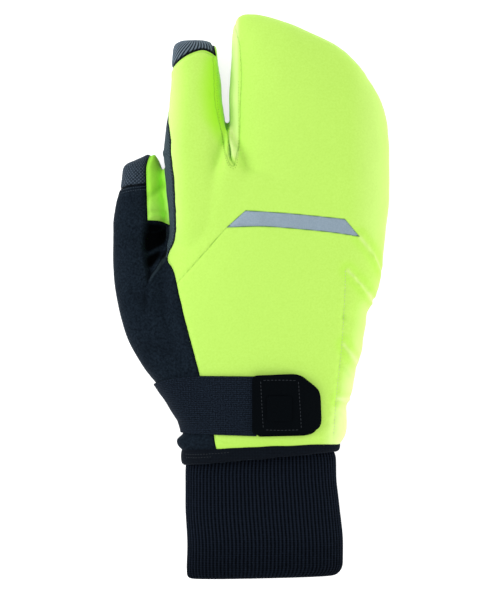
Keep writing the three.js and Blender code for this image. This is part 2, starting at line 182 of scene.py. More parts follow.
# %% Sections of the five tubes, the cuff, and the wall
HAND = [
    (-86, -33.5, 44.2, 1.2, 35), (-80.5, -34.8, 44.4, 1, 36.5), (-77.5, -38, 45.4, 0.8, 37.3),
    (-74.5, -38.8, 47.6, 0.6, 38), (-71, -35.2, 49.2, 0.3, 38.5), (-67, -36, 49.7, 0.2, 39),
    (-57, -39, 50, 0, 40.5), (-50.5, -41, 51.6, 0, 41.8), (-42, -43, 53.8, 0, 43),
    (-30, -45, 56.6, 0, 45), (-16, -46, 59.4, 0, 47), (-8.5, -46, 60.4, 0, 48),
    (-3, -46, 63.2, 0, 48.6), (5, -46, 66, 0, 49.2), (14, -45.5, 67.6, 0, 49.5),
    (34, -42.6, 69.7, 0, 49.5), (54, -43.6, 71.3, 0, 48.5), (62, -42, 70.6, 1, 46.5), (66.5, -39, 66, 6, 40),
]
POUCH = [
    (30, -8, 66.5, 2.5, 46.5), (45, -10.6, 70, 0.6, 48), (60, -11.4, 71.6, 0, 48),
    (72, -11.5, 71.8, 0, 46.5), (87, -11.5, 71, 0, 43.5), (96, -11.1, 69.2, 0, 41.4),
    (102, -11.3, 67.1, 0, 40), (113, -10.9, 61.2, 0, 36.5), (123, -10.5, 53.9, 0.5, 33),
    (131, -10.1, 44.5, 1, 29.5),
    (137, -9.6, 31.6, 2, 26), (142, -8.6, 20.6, 4.5, 22), (145.4, -7, 11.4, 7.5, 18),
    (147.3, -4, 4, 10.5, 14.5),
]
INDEX = [
    (24, -41, -12, 1, 43), (40, -42.8, -11.5, 0, 46.5), (56, -44.6, -11, 0, 47),
    (71, -45.2, -10.9, 0, 44.5), (82, -44.6, -11.6, 0, 42.5), (88, -44, -12.6, 0, 41.3),
    (92, -43.4, -13.4, 0, 40.5), (102, -42.2, -14.9, 0, 38), (112, -41.4, -15.6, 0.5, 35),
    (121, -41.2, -16.6, 1, 31.5), (127, -41, -17.1, 2.2, 28), (130.6, -40.6, -17.9, 4, 24.5),
    (132.5, -39, -20, 6, 21.5),
    (133.8, -36.2, -23.6, 8.5, 18.5),
]
THUMB = [
    (-72, -31, -10, 2, 32), (-66, -35.6, -11, 0.5, 34), (-58, -40.6, -13, 0, 36),
    (-53.5, -43.2, -14, 0, 36.5), (-48.5, -46.8, -16, 0, 37), (-44.5, -49.2, -17, 0, 37.3),
    (-41.5, -51.6, -18, 0, 37.5), (-38, -54.4, -20, 0, 37.5),
    (-29, -60.2, -23, 0, 37), (-15, -66, -29, 0, 36), (8, -70.7, -37, 0, 33.5),
    (25, -71.8, -42.2, 0, 31.5), (36, -71.8, -43, 0, 30.5), (47, -70.6, -42.8, 0, 29),
    (56, -68.4, -43, 0.5, 27), (62, -67.4, -44.4, 1, 24.8), (66.6, -66.8, -46, 2, 22.5),
    (69, -65.4, -46.9, 3.5, 20.8), (71.4, -60, -48, 5.5, 18.6), (74.4, -53.6, -50, 8.5, 15.5),
]
FORK_END = [
    (46, -26, 6, 8, 48.2), (56, -25, 4.6, 8, 48), (62, -22.5, 1, 8, 47.6), (68, -19, -1.8, 8, 46.7),
    (72, -16.8, -3.2, 8, 45.2), (76, -15.2, -6, 8, 42.8), (80, -14.4, -8.6, 8, 40.4),
    (84, -14, -9.8, 8, 37.5), (87, -13.6, -10.6, 8, 33), (89.4, -13.2, -11.2, 10, 26),
    (90.6, -12.8, -11.6, 12, 19),
]
CUFF = [
    (-146.9, -32.8, 44.4, 1.5, 26.5), (-145.3, -33.3, 46, 1, 27.4), (-143.5, -33.5, 47.2, 0.5, 28.2),
    (-140.5, -33.6, 47.9, 0, 29), (-130, -33.4, 48, 0, 29.6), (-108, -34.2, 45.8, 0, 31),
    (-94, -34.2, 44.5, 1.2, 31.4), (-84, -33.6, 44.2, 4, 31.2), (-80.5, -32, 43.2, 5.2, 30.8),
    (-77.5, -31, 41.6, 6, 30.5), (-73, -30.4, 40.8, 6.2, 30.4),
]
WALL = 3.0
SQUARENESS = 2.5  # 2 is an ellipse, more is squarer
PRESSED_FLAT = 2.0  # how much of the underside the floor presses flat
print("sections:", len(HAND) + len(POUCH) + len(INDEX) + len(THUMB) + len(CUFF))


# %% [markdown]
# ## Soft curves through few numbers
#
# Between the rows the outline has to run smoothly and must not swing past them, so each column is
# joined by a monotone cubic. Seams are drawn in plan as a few corners with a Catmull-Rom curve
# through the round stretches.

# %% Curves, rings and lofts
def monotone(x, v, at):
    """A smooth curve through the values v at x, which never swings past them, read at new places."""
    x, v = np.asarray(x, float), np.asarray(v, float)
    step, slope = np.diff(x), np.diff(v) / np.diff(x)
    near, far = 2 * step[1:] + step[:-1], step[1:] + 2 * step[:-1]
    with np.errstate(divide="ignore", invalid="ignore"):
        middle = (near + far) / (near / slope[:-1] + far / slope[1:])
    middle = np.where(slope[:-1] * slope[1:] > 0, middle, 0)
    m = np.concatenate([slope[:1], middle, slope[-1:]])
    i = np.clip(np.searchsorted(x, at) - 1, 0, len(step) - 1)
    t = (np.clip(at, x[0], x[-1]) - x[i]) / step[i]
    rise, fall = 3 * t**2 - 2 * t**3, 1 - 3 * t**2 + 2 * t**3
    pull = step[i] * ((t**3 - 2 * t**2 + t) * m[i] + (t**3 - t**2) * m[i + 1])
    return v[i] * fall + v[i + 1] * rise + pull


def rows_at(table, y):
    """Sections at new places along the mitten: y, left, right, bottom and top."""
    table = np.array(table, float)
    return np.column_stack([y, *(monotone(table[:, 0], table[:, k], y) for k in range(1, 5))])


def fine_rows(table, step=1.2):
    first, last = table[0][0], table[-1][0]
    return rows_at(table, np.linspace(first, last, int((last - first) / step) + 2))


def inset(rows, wall):
    """The same sections a wall's thickness further in, where they are wide enough for it."""
    rows = rows + np.array([-wall, wall, -wall, wall, -wall])
    return rows[(rows[:, 2] - rows[:, 1] > wall) & (rows[:, 4] - rows[:, 3] > wall)]


def rings(rows, count):
    """Squared ellipses, pressed flat underneath: one ring of points for each row."""
    y, left, right, bottom, top = rows.T[:, :, None]
    angle = np.linspace(0, 2 * math.pi, count, endpoint=False)[None, :]
    bend = lambda v: np.sign(v) * np.abs(v) ** (2 / SQUARENESS)
    low = bottom - PRESSED_FLAT
    x = (left + right) / 2 + (right - left) / 2 * bend(np.cos(angle))
    z = (low + top) / 2 + (top - low) / 2 * bend(np.sin(angle))
    return np.stack([x, y + 0 * x, np.maximum(z, bottom)], axis=-1)


def loft(name, grid, ends=True, closed=False):
    """A skin over rings of points, with flat ends, or closed to a loop of rings."""
    rows, count = grid.shape[:2]
    r, i = np.meshgrid(np.arange(rows if closed else rows - 1), np.arange(count), indexing="ij")
    up, side = (r + 1) % rows, (i + 1) % count
    faces = np.stack([r * count + i, up * count + i, up * count + side, r * count + side], axis=-1)
    faces = faces.reshape(-1, 4).tolist()
    if ends:
        faces += [list(range(count)), list(range(rows * count - 1, (rows - 1) * count - 1, -1))]
    return make(name, grid.reshape(-1, 3), faces)


def through(corners, step=1.0):
    """A Catmull-Rom curve through corners, with a point about every step."""
    p = np.array(corners, float)
    p = np.vstack([2 * p[0] - p[1], p, 2 * p[-1] - p[-2]])
    out = []
    for a, b, c, d in zip(p, p[1:], p[2:], p[3:]):
        square, cube = 2 * a - 5 * b + 4 * c - d, 3 * b - a - 3 * c + d
        for t in np.arange(0, 1, min(1, step / max(np.linalg.norm(c - b), 1e-6))):
            out.append(0.5 * (2 * b + (c - a) * t + square * t**2 + cube * t**3))
    return np.vstack([out, p[-2]])


print("rings of the pouch:", len(fine_rows(POUCH)))


# %% [markdown]
# ## The seams in plan
#
# The panels meet on the same lines as in the CAD model. A closed outline that covers a piece in plan
# cuts it out of the skin like a pastry cutter. The outline runs along the seam and closes outside
# the cloth, where it cuts nothing.

# %% Seam outlines
FAR = 160  # past the end of the mitten


def outline(*runs):
    return np.vstack([np.array(run, float).reshape(-1, 2) for run in runs])


FINGERS = outline(
    (-55, -12), (-12.6, 35.2),
    through([(-12.6, 35.2), (4.7, 35.7), (20.8, 34.7), (41.1, 32.7), (55.6, 30.6)]),
    through([(55.6, 30.6), (62.6, 21.6), (67, 13.8), (72, 5.6)]), (90, 5.6), (90, FAR), (-60, FAR),
)
STRIP = outline(
    (-13, 33.5), (-12.6, 35.2), (-2.8, 43.9), through([(-2.8, 43.9), (20.8, 42.3), (48, 39.6)]), (55.6, 30.6),
    (55.8, 28.4), (20, 29.4),
)
GATHER = outline(
    through([(41.5, -90), (44.4, -46), (46.6, -25), (48, 0), (48.4, 14.6)])[:-1],
    through([(48.4, 14.6), (53.7, 9), (59, 3.4), (67, -7)]), (85, -20), (60, -95),
)
THUMB_AREA = outline(
    through([
        (-45.4, 85), (-45.6, 74), (-45, 67), (-44.2, 60), (-43.6, 53), (-42.8, 46.5), (-42.2, 38),
        (-42.4, 32), (-43.2, 27), (-45.2, 21.1), (-48.6, 14.8), (-51.2, 11.4), (-53.3, 7), (-55, -7),
        (-54, -22), (-49, -38), (-43.5, -50), (-37, -60), (-44, -68),
    ]), (-85, -68), (-85, 85),
)
THUMB_PANEL = outline(
    (-51.4, 80), through([(-51.8, 74.6), (-53.2, 72), (-54.3, 67), (-54.2, 60), (-53.8, 50), (-53.4, 39.4)]),
    through([(-53.4, 39.4), (-47, 39), (-42, 37)]), (-36, 36.4), (-36, 80),
)
THUMB_PANEL_LOW = 9.5
THUMB_PATCH = outline(
    (-76, 54.4), through([(-68, 56.2), (-62, 57.4), (-54, 58.2), (-40, 58.9)]), (-40, 80), (-76, 80),
)
CAP = outline(
    (-48, 113), through([
        (-44, 116.6), (-40.2, 118.9), (-36.9, 121.9), (-31.7, 125.3), (-25.5, 127.4), (-21.3, 126.4),
        (-17.9, 124.4),
    ]), (-19.1, 130.4), (-20.8, 140), (-48, 140),
)
FORK = outline(
    through([
        (-15.6, 130), (-16, 104), (-14.6, 92), (-13, 84), (-11.8, 71.8), (-9.8, 67), (-8.4, 69.4), (-8, 84),
        (-8, 115), (-9.5, 130),
    ]), (-15, 146),
)
print("outline of the finger panel:", len(FINGERS), "corners")

# %% Seams down the sides, and the distance to an outline
FORK_SPREAD, FORK_BACK_Z, FORK_PALM_Z = 5.5, 50, 8  # the gusset widens from the back to the palm
SIDE_SEAM = [(-95, 13), (55, 14.5), (100, 12), (135, 8), (155, 6)]  # y and z
SIDEWALL_Y = 19.6
BACK_EDGE = [  # x, y and z; without z the point lies on top of the skin
    (-43.2, 123, 14), (-43.6, 112, 18), (-43.4, 95, 21.5), (-42.2, 84, None), (-41.3, 70.7, None),
    (-40, 58, None), (-39.4, 45, None), (-39.3, 35, None), (-39.7, 29.8, None), (-41.4, 25.6, None),
    (-43.8, 19.9, None), (-41.6, 15, None), (-38.6, 6.4, None), (-32, -20, None), (-26.4, -41, None),
    (-16, -84.9, None),
]
GAP = 0.03


def signed(area, xy):
    """Distance from each point to an outline, negative inside it."""
    a, b = area, np.roll(area, -1, axis=0)
    best = np.full(len(xy), 1e9)
    inside = np.zeros(len(xy), bool)
    for (ax, ay), (bx, by) in zip(a, b):
        dx, dy = bx - ax, by - ay
        if dx == dy == 0:
            continue
        px, py = xy[:, 0] - ax, xy[:, 1] - ay
        t = np.clip((px * dx + py * dy) / (dx * dx + dy * dy), 0, 1)
        best = np.minimum(best, (px - t * dx) ** 2 + (py - t * dy) ** 2)
        if ay != by:
            crosses = (ay > xy[:, 1]) != (by > xy[:, 1])
            inside ^= crosses & (px < dx * (xy[:, 1] - ay) / dy)
    return np.where(inside, -1, 1) * np.sqrt(best)


AREAS = (FINGERS, STRIP, GATHER, THUMB_AREA, THUMB_PANEL, THUMB_PATCH, CAP, FORK)
print("seam corners:", sum(map(len, AREAS)))


# %% [markdown]
# ## One skin for the whole mitten
#
# The five tubes overlap. A voxel remesh melts them into one closed skin of small even squares, and
# smoothing rounds the creases where they meet, as padding does. Over the knuckles below the fork the
# cloth is taut, so a vertex group has the skin smoothed longer there. Working on a single skin means
# that the panels, cut from it later, always meet.

# %% Melt the tubes together
SKIN_VOXEL = 0.8
KNUCKLES = (-10, 55, 24, 13)  # middle and half size in plan


def melted(name, tables, wall=0.0, count=144, voxel=SKIN_VOXEL, rounds=14):
    """One closed skin over tubes that overlap, each given by its sections."""
    if wall:
        tables = [inset(rows, wall) for rows in tables]
    tubes = [loft(f"{name}_{i}", rings(rows, count)) for i, rows in enumerate(tables)]
    bpy.ops.object.select_all(action="DESELECT")
    for tube in tubes:
        tube.select_set(True)
    bpy.context.view_layer.objects.active = tubes[0]
    bpy.ops.object.join()
    skin = tubes[0]
    skin.name = name
    apply_new(skin, "REMESH", mode="VOXEL", voxel_size=voxel * MM, use_smooth_shade=True)
    apply_new(skin, "SMOOTH", factor=0.5, iterations=rounds)
    return skin


skin = melted("skin", [fine_rows(table) for table in (HAND, POUCH, INDEX, THUMB, FORK_END)])
knuckles = skin.vertex_groups.new(name="knuckles")
middle_x, middle_y, half_x, half_y = KNUCKLES
for i, (x, y, z) in enumerate(points_of(skin)):
    weight = max(0.0, 1 - math.hypot((x - middle_x) / half_x, (y - middle_y) / half_y)) * (z > 30)
    if weight > 0:
        knuckles.add([i], min(1.0, 2 * weight), "REPLACE")
apply_new(skin, "SMOOTH", factor=0.5, iterations=80, vertex_group="knuckles")
print("skin:", len(skin.data.vertices), "points")


# %% [markdown]
# ## Where the seams lie on the skin
#
# A function tells which panel any point belongs to. An edge of the skin whose two ends belong to
# different panels crosses a seam, and halving it a few times finds the crossing to a hundredth of a
# millimetre. The edge of the back can't be drawn in plan, because it runs down the steep side of the
# index finger. It is a curve in space, snapped to the skin, with the skin's normal beside it.

# %% The back edge as a curve on the skin
def tree_of(obj):
    return BVHTree.FromObject(obj, bpy.context.evaluated_depsgraph_get())


def height(tree, x, y):
    """How high a surface lies at a place in plan, by a ray from above."""
    place, normal, _, _ = tree.ray_cast(Vector((x, y, 90)) * MM, Vector((0, 0, -1)))
    return place.z / MM if place else 0.0


skin_tree = tree_of(skin)
knots = [(x, y, height(skin_tree, x, y) if z is None else z) for x, y, z in BACK_EDGE]
edge_curve = through(knots, 0.7)
nearest = [skin_tree.find_nearest(Vector(p) * MM) for p in edge_curve]
edge_curve = np.array([place for place, *_ in nearest]) / MM
edge_normals = np.array([normal for _, normal, *_ in nearest])


def fade(values, start, end):
    """A soft step from 0 at start to 1 at end."""
    t = np.clip((values - start) / (end - start), 0, 1)
    return t * t * (3 - 2 * t)


def along_mean(values, reach):
    """Each value averaged with its neighbours along a curve."""
    return np.array([values[max(0, i - reach) : i + reach + 1].mean(axis=0) for i in range(len(values))])


edge_curve = along_mean(edge_curve, 1)
edge_normals = along_mean(edge_normals, 9)
edge_normals /= np.linalg.norm(edge_normals, axis=1)[:, None]
edge_side = np.cross(np.gradient(edge_curve, axis=0), edge_normals)
edge_side /= np.linalg.norm(edge_side, axis=1)[:, None]
edge_side *= np.sign(edge_side[:, :1])


def finder(points):
    """A tree that finds the nearest of many points quickly."""
    tree = kdtree.KDTree(len(points))
    for i, p in enumerate(points):
        tree.insert(p, i)
    tree.balance()
    return tree


edge_finder = finder(edge_curve)
print("back edge:", len(edge_curve), "points")

# %% Which panel a point belongs to
NAMES = [
    "finger_panel", "hand_panel", "gather_panel", "reflective_strip", "fork_gusset", "index_sidewall",
    "fingertip_cap", "heel_wrap", "palm", "thumb", "thumb_back_panel", "thumb_tip_patch",
]
CODE = {name: i for i, name in enumerate(NAMES)}


def panel_of(points):
    """The number of the panel that each point belongs to."""
    xy, z = points[:, :2], points[:, 2]
    nearest = [edge_finder.find(p)[1] for p in points]
    outer = np.einsum("ij,ij->i", points - edge_curve[nearest], edge_side[nearest]) < 0
    side = np.where(xy[:, 1] > SIDEWALL_Y, CODE["index_sidewall"], CODE["heel_wrap"])
    fingers = np.where(signed(STRIP, xy) < 0, CODE["reflective_strip"], CODE["finger_panel"])
    hand = np.where(signed(GATHER, xy) < 0, CODE["gather_panel"], CODE["hand_panel"])
    code = np.where(signed(FINGERS, xy) < 0, fingers, hand)
    code = np.where(outer, side, code)
    wider = FORK_SPREAD * np.clip((FORK_BACK_Z - z) / (FORK_BACK_Z - FORK_PALM_Z), 0, 1)
    code = np.where(signed(FORK, xy) < wider, CODE["fork_gusset"], code)
    code = np.where(z < np.interp(xy[:, 1], *np.array(SIDE_SEAM).T), CODE["palm"], code)
    code = np.where(signed(CAP, xy) < 0, CODE["fingertip_cap"], code)
    thumb = np.where(signed(THUMB_PATCH, xy) < 0, CODE["thumb_tip_patch"], CODE["thumb"])
    panel = (signed(THUMB_PANEL, xy) < 0) & (z > THUMB_PANEL_LOW)
    thumb = np.where(panel, CODE["thumb_back_panel"], thumb)
    return np.where(signed(THUMB_AREA, xy) < 0, thumb, code)


sample = np.array([[10.0, 60.0, 47.0]])
print("over the knuckles lies the", NAMES[int(panel_of(sample)[0])])


# %% Find the seams
HALVINGS = 6


def seams_of(obj):
    """Points on the seams, and for each the two panels that meet there."""
    points, edges = points_of(obj), edges_of(obj)
    code = panel_of(points)
    crossing = edges[code[edges[:, 0]] != code[edges[:, 1]]]
    near, far = points[crossing[:, 0]], points[crossing[:, 1]]
    first = code[crossing[:, 0]]
    for _ in range(HALVINGS):
        middle = (near + far) / 2
        same = (panel_of(middle) == first)[:, None]
        near, far = np.where(same, middle, near), np.where(same, far, middle)
    pairs = np.sort(np.stack([first, code[crossing[:, 1]]], axis=1), axis=1)
    return (near + far) / 2, pairs


seam_points, seam_pairs = seams_of(skin)
seam_finder = finder(seam_points)
print("seam crossings:", len(seam_points))


# %% [markdown]
# ## Puffing the padding with a cloth simulation
#
# Padding pushes the cloth out everywhere but at the seams, where stitches hold it down. A coarse
# copy of the skin is simulated: its points near a seam are pinned, pressure fills the rest, and
# gravity is off. It starts a little too small, so that it swells to the true size. The movement is
# capped, and then handed over to the fine skin.

# %% Cloth on a coarse copy
PUFF_VOXEL = 4.0
PUFF_PRESSURE = 30
PUFF_CAP = 1.8  # how far a point may move
PUFF_FRAMES = 20
START_SMALLER = 0.8
SEWN_REACH = 3.2  # how far from a seam the stitches still hold the cloth
CUFF_HELD_Y = -76


def puff():
    """Where the coarse skin's points start, and how far each of them moves."""
    coarse = copy_of(skin, "puff")
    apply_new(coarse, "REMESH", mode="VOXEL", voxel_size=PUFF_VOXEL * MM)
    start = points_of(coarse)
    move(coarse, start - START_SMALLER * normals_of(coarse))
    small = points_of(coarse)
    sewn = coarse.vertex_groups.new(name="sewn")
    for i, p in enumerate(start):
        away = seam_finder.find(p)[2]
        fixed = p[2] < 1.0 or p[1] < CUFF_HELD_Y
        hold = 1.0 if fixed else max(0.0, 1 - max(0.0, away - 1.0) / SEWN_REACH)
        if hold > 0:
            sewn.add([i], hold, "REPLACE")
    pick(coarse)
    cloth = coarse.modifiers.new("cloth", "CLOTH")
    settings = {
        "vertex_group_mass": "sewn", "quality": 6, "mass": 0.25, "tension_stiffness": 2.5,
        "compression_stiffness": 2.5, "bending_stiffness": 0.05, "use_pressure": True,
        "uniform_pressure_force": PUFF_PRESSURE,
    }
    for key, value in settings.items():
        setattr(cloth.settings, key, value)
    cloth.settings.effector_weights.gravity = 0
    cloth.point_cache.frame_end = PUFF_FRAMES
    for number in range(1, PUFF_FRAMES + 1):
        scene.frame_set(number)
    bpy.ops.object.modifier_apply(modifier=cloth.name)
    shift = points_of(coarse) - small
    scene.frame_set(1)
    length = np.linalg.norm(shift, axis=1)[:, None]
    shift *= np.minimum(1, PUFF_CAP / np.maximum(length, 1e-9))
    print(f"cloth moved up to {length.max():.2f} mm, mean {length.mean():.2f}")
    drop(coarse)
    return start, shift


skin_points = points_of(skin)
skin_normals = normals_of(skin)
starts, shifts = puff()
coarse_finder = finder(starts)
found = [coarse_finder.find_n(p, 6) for p in skin_points]
index = np.array([[hit[1] for hit in hits] for hits in found])
weight = 1 / (0.6 + np.array([[hit[2] for hit in hits] for hits in found])) ** 2
moved = (shifts[index] * weight[:, :, None]).sum(axis=1) / weight.sum(axis=1)[:, None]
swell = np.einsum("ij,ij->i", moved, skin_normals)
print("swell up to", round(float(swell.max()), 2), "mm")


# %% [markdown]
# ## Seams, folds and puckers
#
# Everything that is smaller than the padding is carved into the fine skin along its normals: a
# groove along every seam, its depth and width set by how the seam is sewn, short ridges where the
# side panel is gathered, the folds in the crotch of the thumb, and a faint unevenness all over.
# Between thumb and hand the cloth folds in as a web, so the skin sinks straight down there. How deep a point
# lies is kept, because the shaders paint shade, darker and richer, into a crease.

# %% Grooves and folds
GROOVES = {  # depth and width of each kind of seam
    ("finger_panel", "hand_panel"): (0.3, 0.8),
    ("finger_panel", "reflective_strip"): (0.35, 0.6),
    ("hand_panel", "reflective_strip"): (0.35, 0.6),
    ("finger_panel", "fork_gusset"): (0.35, 0.7),
    ("hand_panel", "gather_panel"): (0.45, 1.5),
    ("finger_panel", "index_sidewall"): (0.8, 1.1),
    ("thumb", "thumb_tip_patch"): (0.7, 0.9),
}
OTHER_GROOVE = (1.0, 1.3)
FOLDS = [  # plan line, height, width, lowest height above the floor
    ([(-54.8, 20.6), (-49, 24), (-43.4, 27.4)], 2.2, 1.7, 10),
    ([(-53.4, 13.4), (-50, 15.6), (-46.4, 19.2)], 1.5, 1.3, 10),
    ([(-54.6, 33), (-49, 33.6), (-44, 36)], 1.0, 1.5, 10),
    ([(-44.6, 20), (-47.9, 14.8), (-50.8, 10.6), (-52.8, 6.4), (-53.6, 2)], 0.7, 0.9, 14),
    ([(-53, 51.4), (-49, 54.2), (-44.2, 59)], -0.8, 2.0, 12),
    ([(-53, 43.6), (-48.6, 44.4), (-43.8, 43)], -0.5, 1.8, 12),
    ([(49, 13), (53.4, 8.4), (58, 1.8), (59.6, -1)], 0.8, 1.2, 10),
    ([(57, 30), (62, 22), (66, 14.6)], 0.7, 1.1, 10),
    ([(47.3, -24.3), (50.6, -28.4), (55, -34)], 0.9, 1.2, 8),
    ([(46.6, -8), (50, -13), (54, -16)], -0.4, 2.2, 8),
    ([(46, -34), (49.6, -39.4), (52.6, -43)], -0.5, 2.2, 8),
    ([(44.6, -52.4), (48, -53.2), (51, -53.6)], 0.8, 1.2, 8),
    ([(44, -59), (47, -61.4), (49.4, -62)], -0.4, 2, 8),
    ([(-12.9, 96), (-12, 88), (-11.2, 80), (-10.8, 73), (-9.8, 70), (-8.2, 67.5)], -2.6, 0.9, 16),
    ([(-60, -30), (-50, -26), (-38, -30)], -0.5, 5, 14),
    ([(-66, 4), (-58, 0), (-50, -8)], -0.5, 4, 14),
    ([(-70, 34), (-62, 30), (-55, 31)], -0.45, 3.5, 12),
    ([(-20, 132), (-24, 110), (-25, 96)], -0.3, 4, 15),
    ([(-18, -73), (-14, -75), (-8, -75.6)], -0.5, 1.0, 15),
    ([(-43, 74.2), (-46, 74.2)], 0.9, 1.1, 8),
    ([(-6, 61), (-3, 66.4), (-2, 73)], 0.6, 2.8, 20),
    ([(-17.4, 82), (-15.4, 76), (-12.6, 70)], 0.4, 2.2, 20),
]
FOLD_REACH = 9  # past this a fold does nothing
SIDE_BULGES = [  # place along the mitten, half length and height
    (-1, 4, 0.3), (-9, 3, -0.3), (-28, 4, 0.5), (-37, 3, -0.5), (-49, 4, 0.5), (-57, 3, -0.5),
]
PUCKERS = [(0.30, 3.6, 5), (0.16, 1.7, 9)]  # height, size and seed of the unevenness beside a seam
UNEVENNESS = [(0.85, 30, 1), (0.32, 11, 2)]  # the same, all over
ON_FLOOR = 0.4  # a point lower than this lies on the floor
PUFF_SHARE = 0.6  # how much of the cloth's swell the skin takes
print("folds:", len(FOLDS), "and kinds of seam:", len(GROOVES) + 1)


# %% Lines, the web and noise
def line_distance(line, xy):
    """How far each point is from a line in plan, and how far along the line it lies, from 0 to 1."""
    line = through(line, 0.6)
    best, share = np.full(len(xy), 1e9), np.zeros(len(xy))
    for k, p in enumerate(line):
        away = np.hypot(xy[:, 0] - p[0], xy[:, 1] - p[1])
        closer = away < best
        best = np.where(closer, away, best)
        share = np.where(closer, k / (len(line) - 1), share)
    return best, share


WEB = outline(
    (-54.2, 39.2), (-47, 38.8), (-42.4, 37), (-42.2, 31), (-43.2, 26.6), (-45.4, 20.6), (-48.8, 14.6),
    (-51.6, 10.6), (-53.2, 7), (-54.4, 12), (-55.6, 18), (-56.6, 26), (-56.2, 33),
)
WEB_BOX = ((-57, -41), (6, 40))  # x and y, with room to spare
WEB_DEPTH = 6.5


def sunk(points):
    """How far the top of the skin sinks between the thumb and the hand, where the cloth folds in."""
    x, y, z = points.T
    (left, right), (near, far) = WEB_BOX
    close = np.flatnonzero((x > left) & (x < right) & (y > near) & (y < far) & (z > 10))
    dip = np.zeros(len(points))
    dip[close] = WEB_DEPTH * fade(-signed(WEB, points[close, :2]), -0.6, 4.2) * fade(z[close], 12, 20)
    return dip


def bumps(points, size, seed):
    """Soft noise from -1 to 1, with hills of a size; the seed gives another landscape."""
    return np.array([noise.noise(Vector(p / size) + Vector((seed, 0, 0))) for p in points])


def groove_at(points):
    """How far each point is from a seam, and how deep the seam's groove is there."""
    found = [seam_finder.find(p) for p in points]
    away = np.array([hit[2] for hit in found])
    styles = np.array([GROOVES.get((NAMES[a], NAMES[b]), OTHER_GROOVE) for a, b in seam_pairs])
    depth, width = styles[[hit[1] for hit in found]].T
    return away, -depth * np.exp(-((away / width) ** 2))


print("the web's outline has", len(WEB), "corners")


# %% Carve the skin
seam_away, rise = groove_at(skin_points)
fading = np.array([(NAMES[a], NAMES[b]) == ("heel_wrap", "thumb") for a, b in seam_pairs])
fading = fading[[seam_finder.find(p)[1] for p in skin_points]]
rise *= np.where(fading, 0.1 + 0.9 * fade(skin_points[:, 1], -12, 8), 1)
groove = rise.copy()
folded = np.zeros(len(rise))
y_of, z_of = skin_points[:, 1], skin_points[:, 2]
near_seam = np.exp(-((seam_away / 4.5) ** 2))
for tall, size, seed in PUCKERS:
    rise += tall * near_seam * bumps(skin_points, size, seed)
for tall, size, seed in UNEVENNESS:
    rise += tall * bumps(skin_points, size, seed)
for line, tall, wide, low in FOLDS:
    past_low = skin_points[:, :2] > np.min(line, axis=0) - FOLD_REACH
    past_high = skin_points[:, :2] > np.max(line, axis=0) + FOLD_REACH
    close = np.flatnonzero((past_low & ~past_high).all(axis=1))
    away, share = line_distance(line, skin_points[close, :2])
    taper = 0.35 + 0.65 * np.clip(4 * share, 0, 1) * np.clip(4 * (1 - share), 0, 1)
    folded[close] += tall * taper * np.exp(-((away / wide) ** 2)) * fade(z_of[close], low - 4, low + 2)
rise += folded
gather_away = signed(GATHER, skin_points[:, :2])
in_gather = fade(-gather_away, 0.5, 5) * (skin_normals[:, 0] > 0)
for middle, reach, tall in SIDE_BULGES:
    rise += tall * in_gather * np.exp(-(((y_of - middle) / reach) ** 2))
pucker = np.exp(-((gather_away / 3.5) ** 2)) * (y_of < 12) * (skin_normals[:, 2] > 0)
wave = np.sin(2 * math.pi * (y_of / 4.6 + 0.8 * bumps(skin_points, 14, 4)))
rise += 0.22 * pucker * wave
held = fade(y_of, -77, -70)
rise *= 0.15 + 0.85 * held
swell *= held
rise = np.where(z_of < ON_FLOOR, np.minimum(rise, 0), rise)
swell = np.where(z_of < ON_FLOOR, 0, swell)
shape = skin_points + (rise + PUFF_SHARE * swell)[:, None] * skin_normals
shape[:, 2] -= sunk(skin_points)
shape[:, 2] = np.maximum(shape[:, 2], np.where(z_of < ON_FLOOR, 0, 0.02))
move(skin, shape)
skin_tree = tree_of(skin)
crease_finder = finder(shape)
# painted shade: how deep grooves, folds and the web between thumb and hand lie, kept to darken the cloth there
crease_depth_for_painted_shade = np.clip(-(0.6 * groove + folded) + 0.35 * sunk(skin_points), 0, 3)
print("carved up to", round(float(-rise.min()), 2), "mm deep,", round(float(rise.max()), 2), "mm high")


# %% [markdown]
# ## Cutting the panels
#
# The lining is a second skin, a wall's thickness further in. Taking it away leaves a hollow mitten,
# open at the wrist. The panels are then cut out with upright prisms over the seam outlines, in the
# order in which the CAD model cuts them, with a hair's gap between two panels.

# %% Cutters
def solid(name, bottom, top):
    """A closed prism between two outlines with the same number of corners."""
    n = len(bottom)
    sides = [[i, (i + 1) % n, n + (i + 1) % n, n + i] for i in range(n)]
    turn = np.sum(bottom[:, 0] * np.roll(bottom[:, 1], -1) - np.roll(bottom[:, 0], -1) * bottom[:, 1])
    faces = [list(range(n))[::-1], list(range(n, 2 * n)), *sides]
    if turn < 0:
        faces = [face[::-1] for face in faces]
    return make(name, np.vstack([bottom, top]), faces)


def grown(area, distance):
    """An outline moved outwards by a distance all round."""
    area = area[np.linalg.norm(area - np.roll(area, 1, axis=0), axis=1) > 1e-3]
    into = area - np.roll(area, 1, axis=0)
    into /= np.linalg.norm(into, axis=1)[:, None]
    out = np.roll(into, -1, axis=0)
    along = into + out
    along /= np.linalg.norm(along, axis=1)[:, None]
    turn = np.sign(np.sum(area[:, 0] * np.roll(area[:, 1], -1) - np.roll(area[:, 0], -1) * area[:, 1]))
    push = turn * distance / np.maximum(0.5, (along * out).sum(axis=1))
    return area + np.stack([along[:, 1], -along[:, 0]], axis=1) * push[:, None]


def at_height(area, z):
    return np.column_stack([area, np.full(len(area), float(z))])


CUTTER_TOP = 60


def above(area, low=-1.0):
    """A cutter over an outline, as a function of how much it grows on all sides."""

    def cutter(grow):
        plan = grown(area, grow)
        return solid("cutter", at_height(plan, low - grow), at_height(plan, CUTTER_TOP))

    return cutter


def fork_cutter(grow):
    return solid(
        "cutter",
        at_height(grown(FORK, grow + FORK_SPREAD), FORK_PALM_Z),
        at_height(grown(FORK, grow), FORK_BACK_Z),
    )


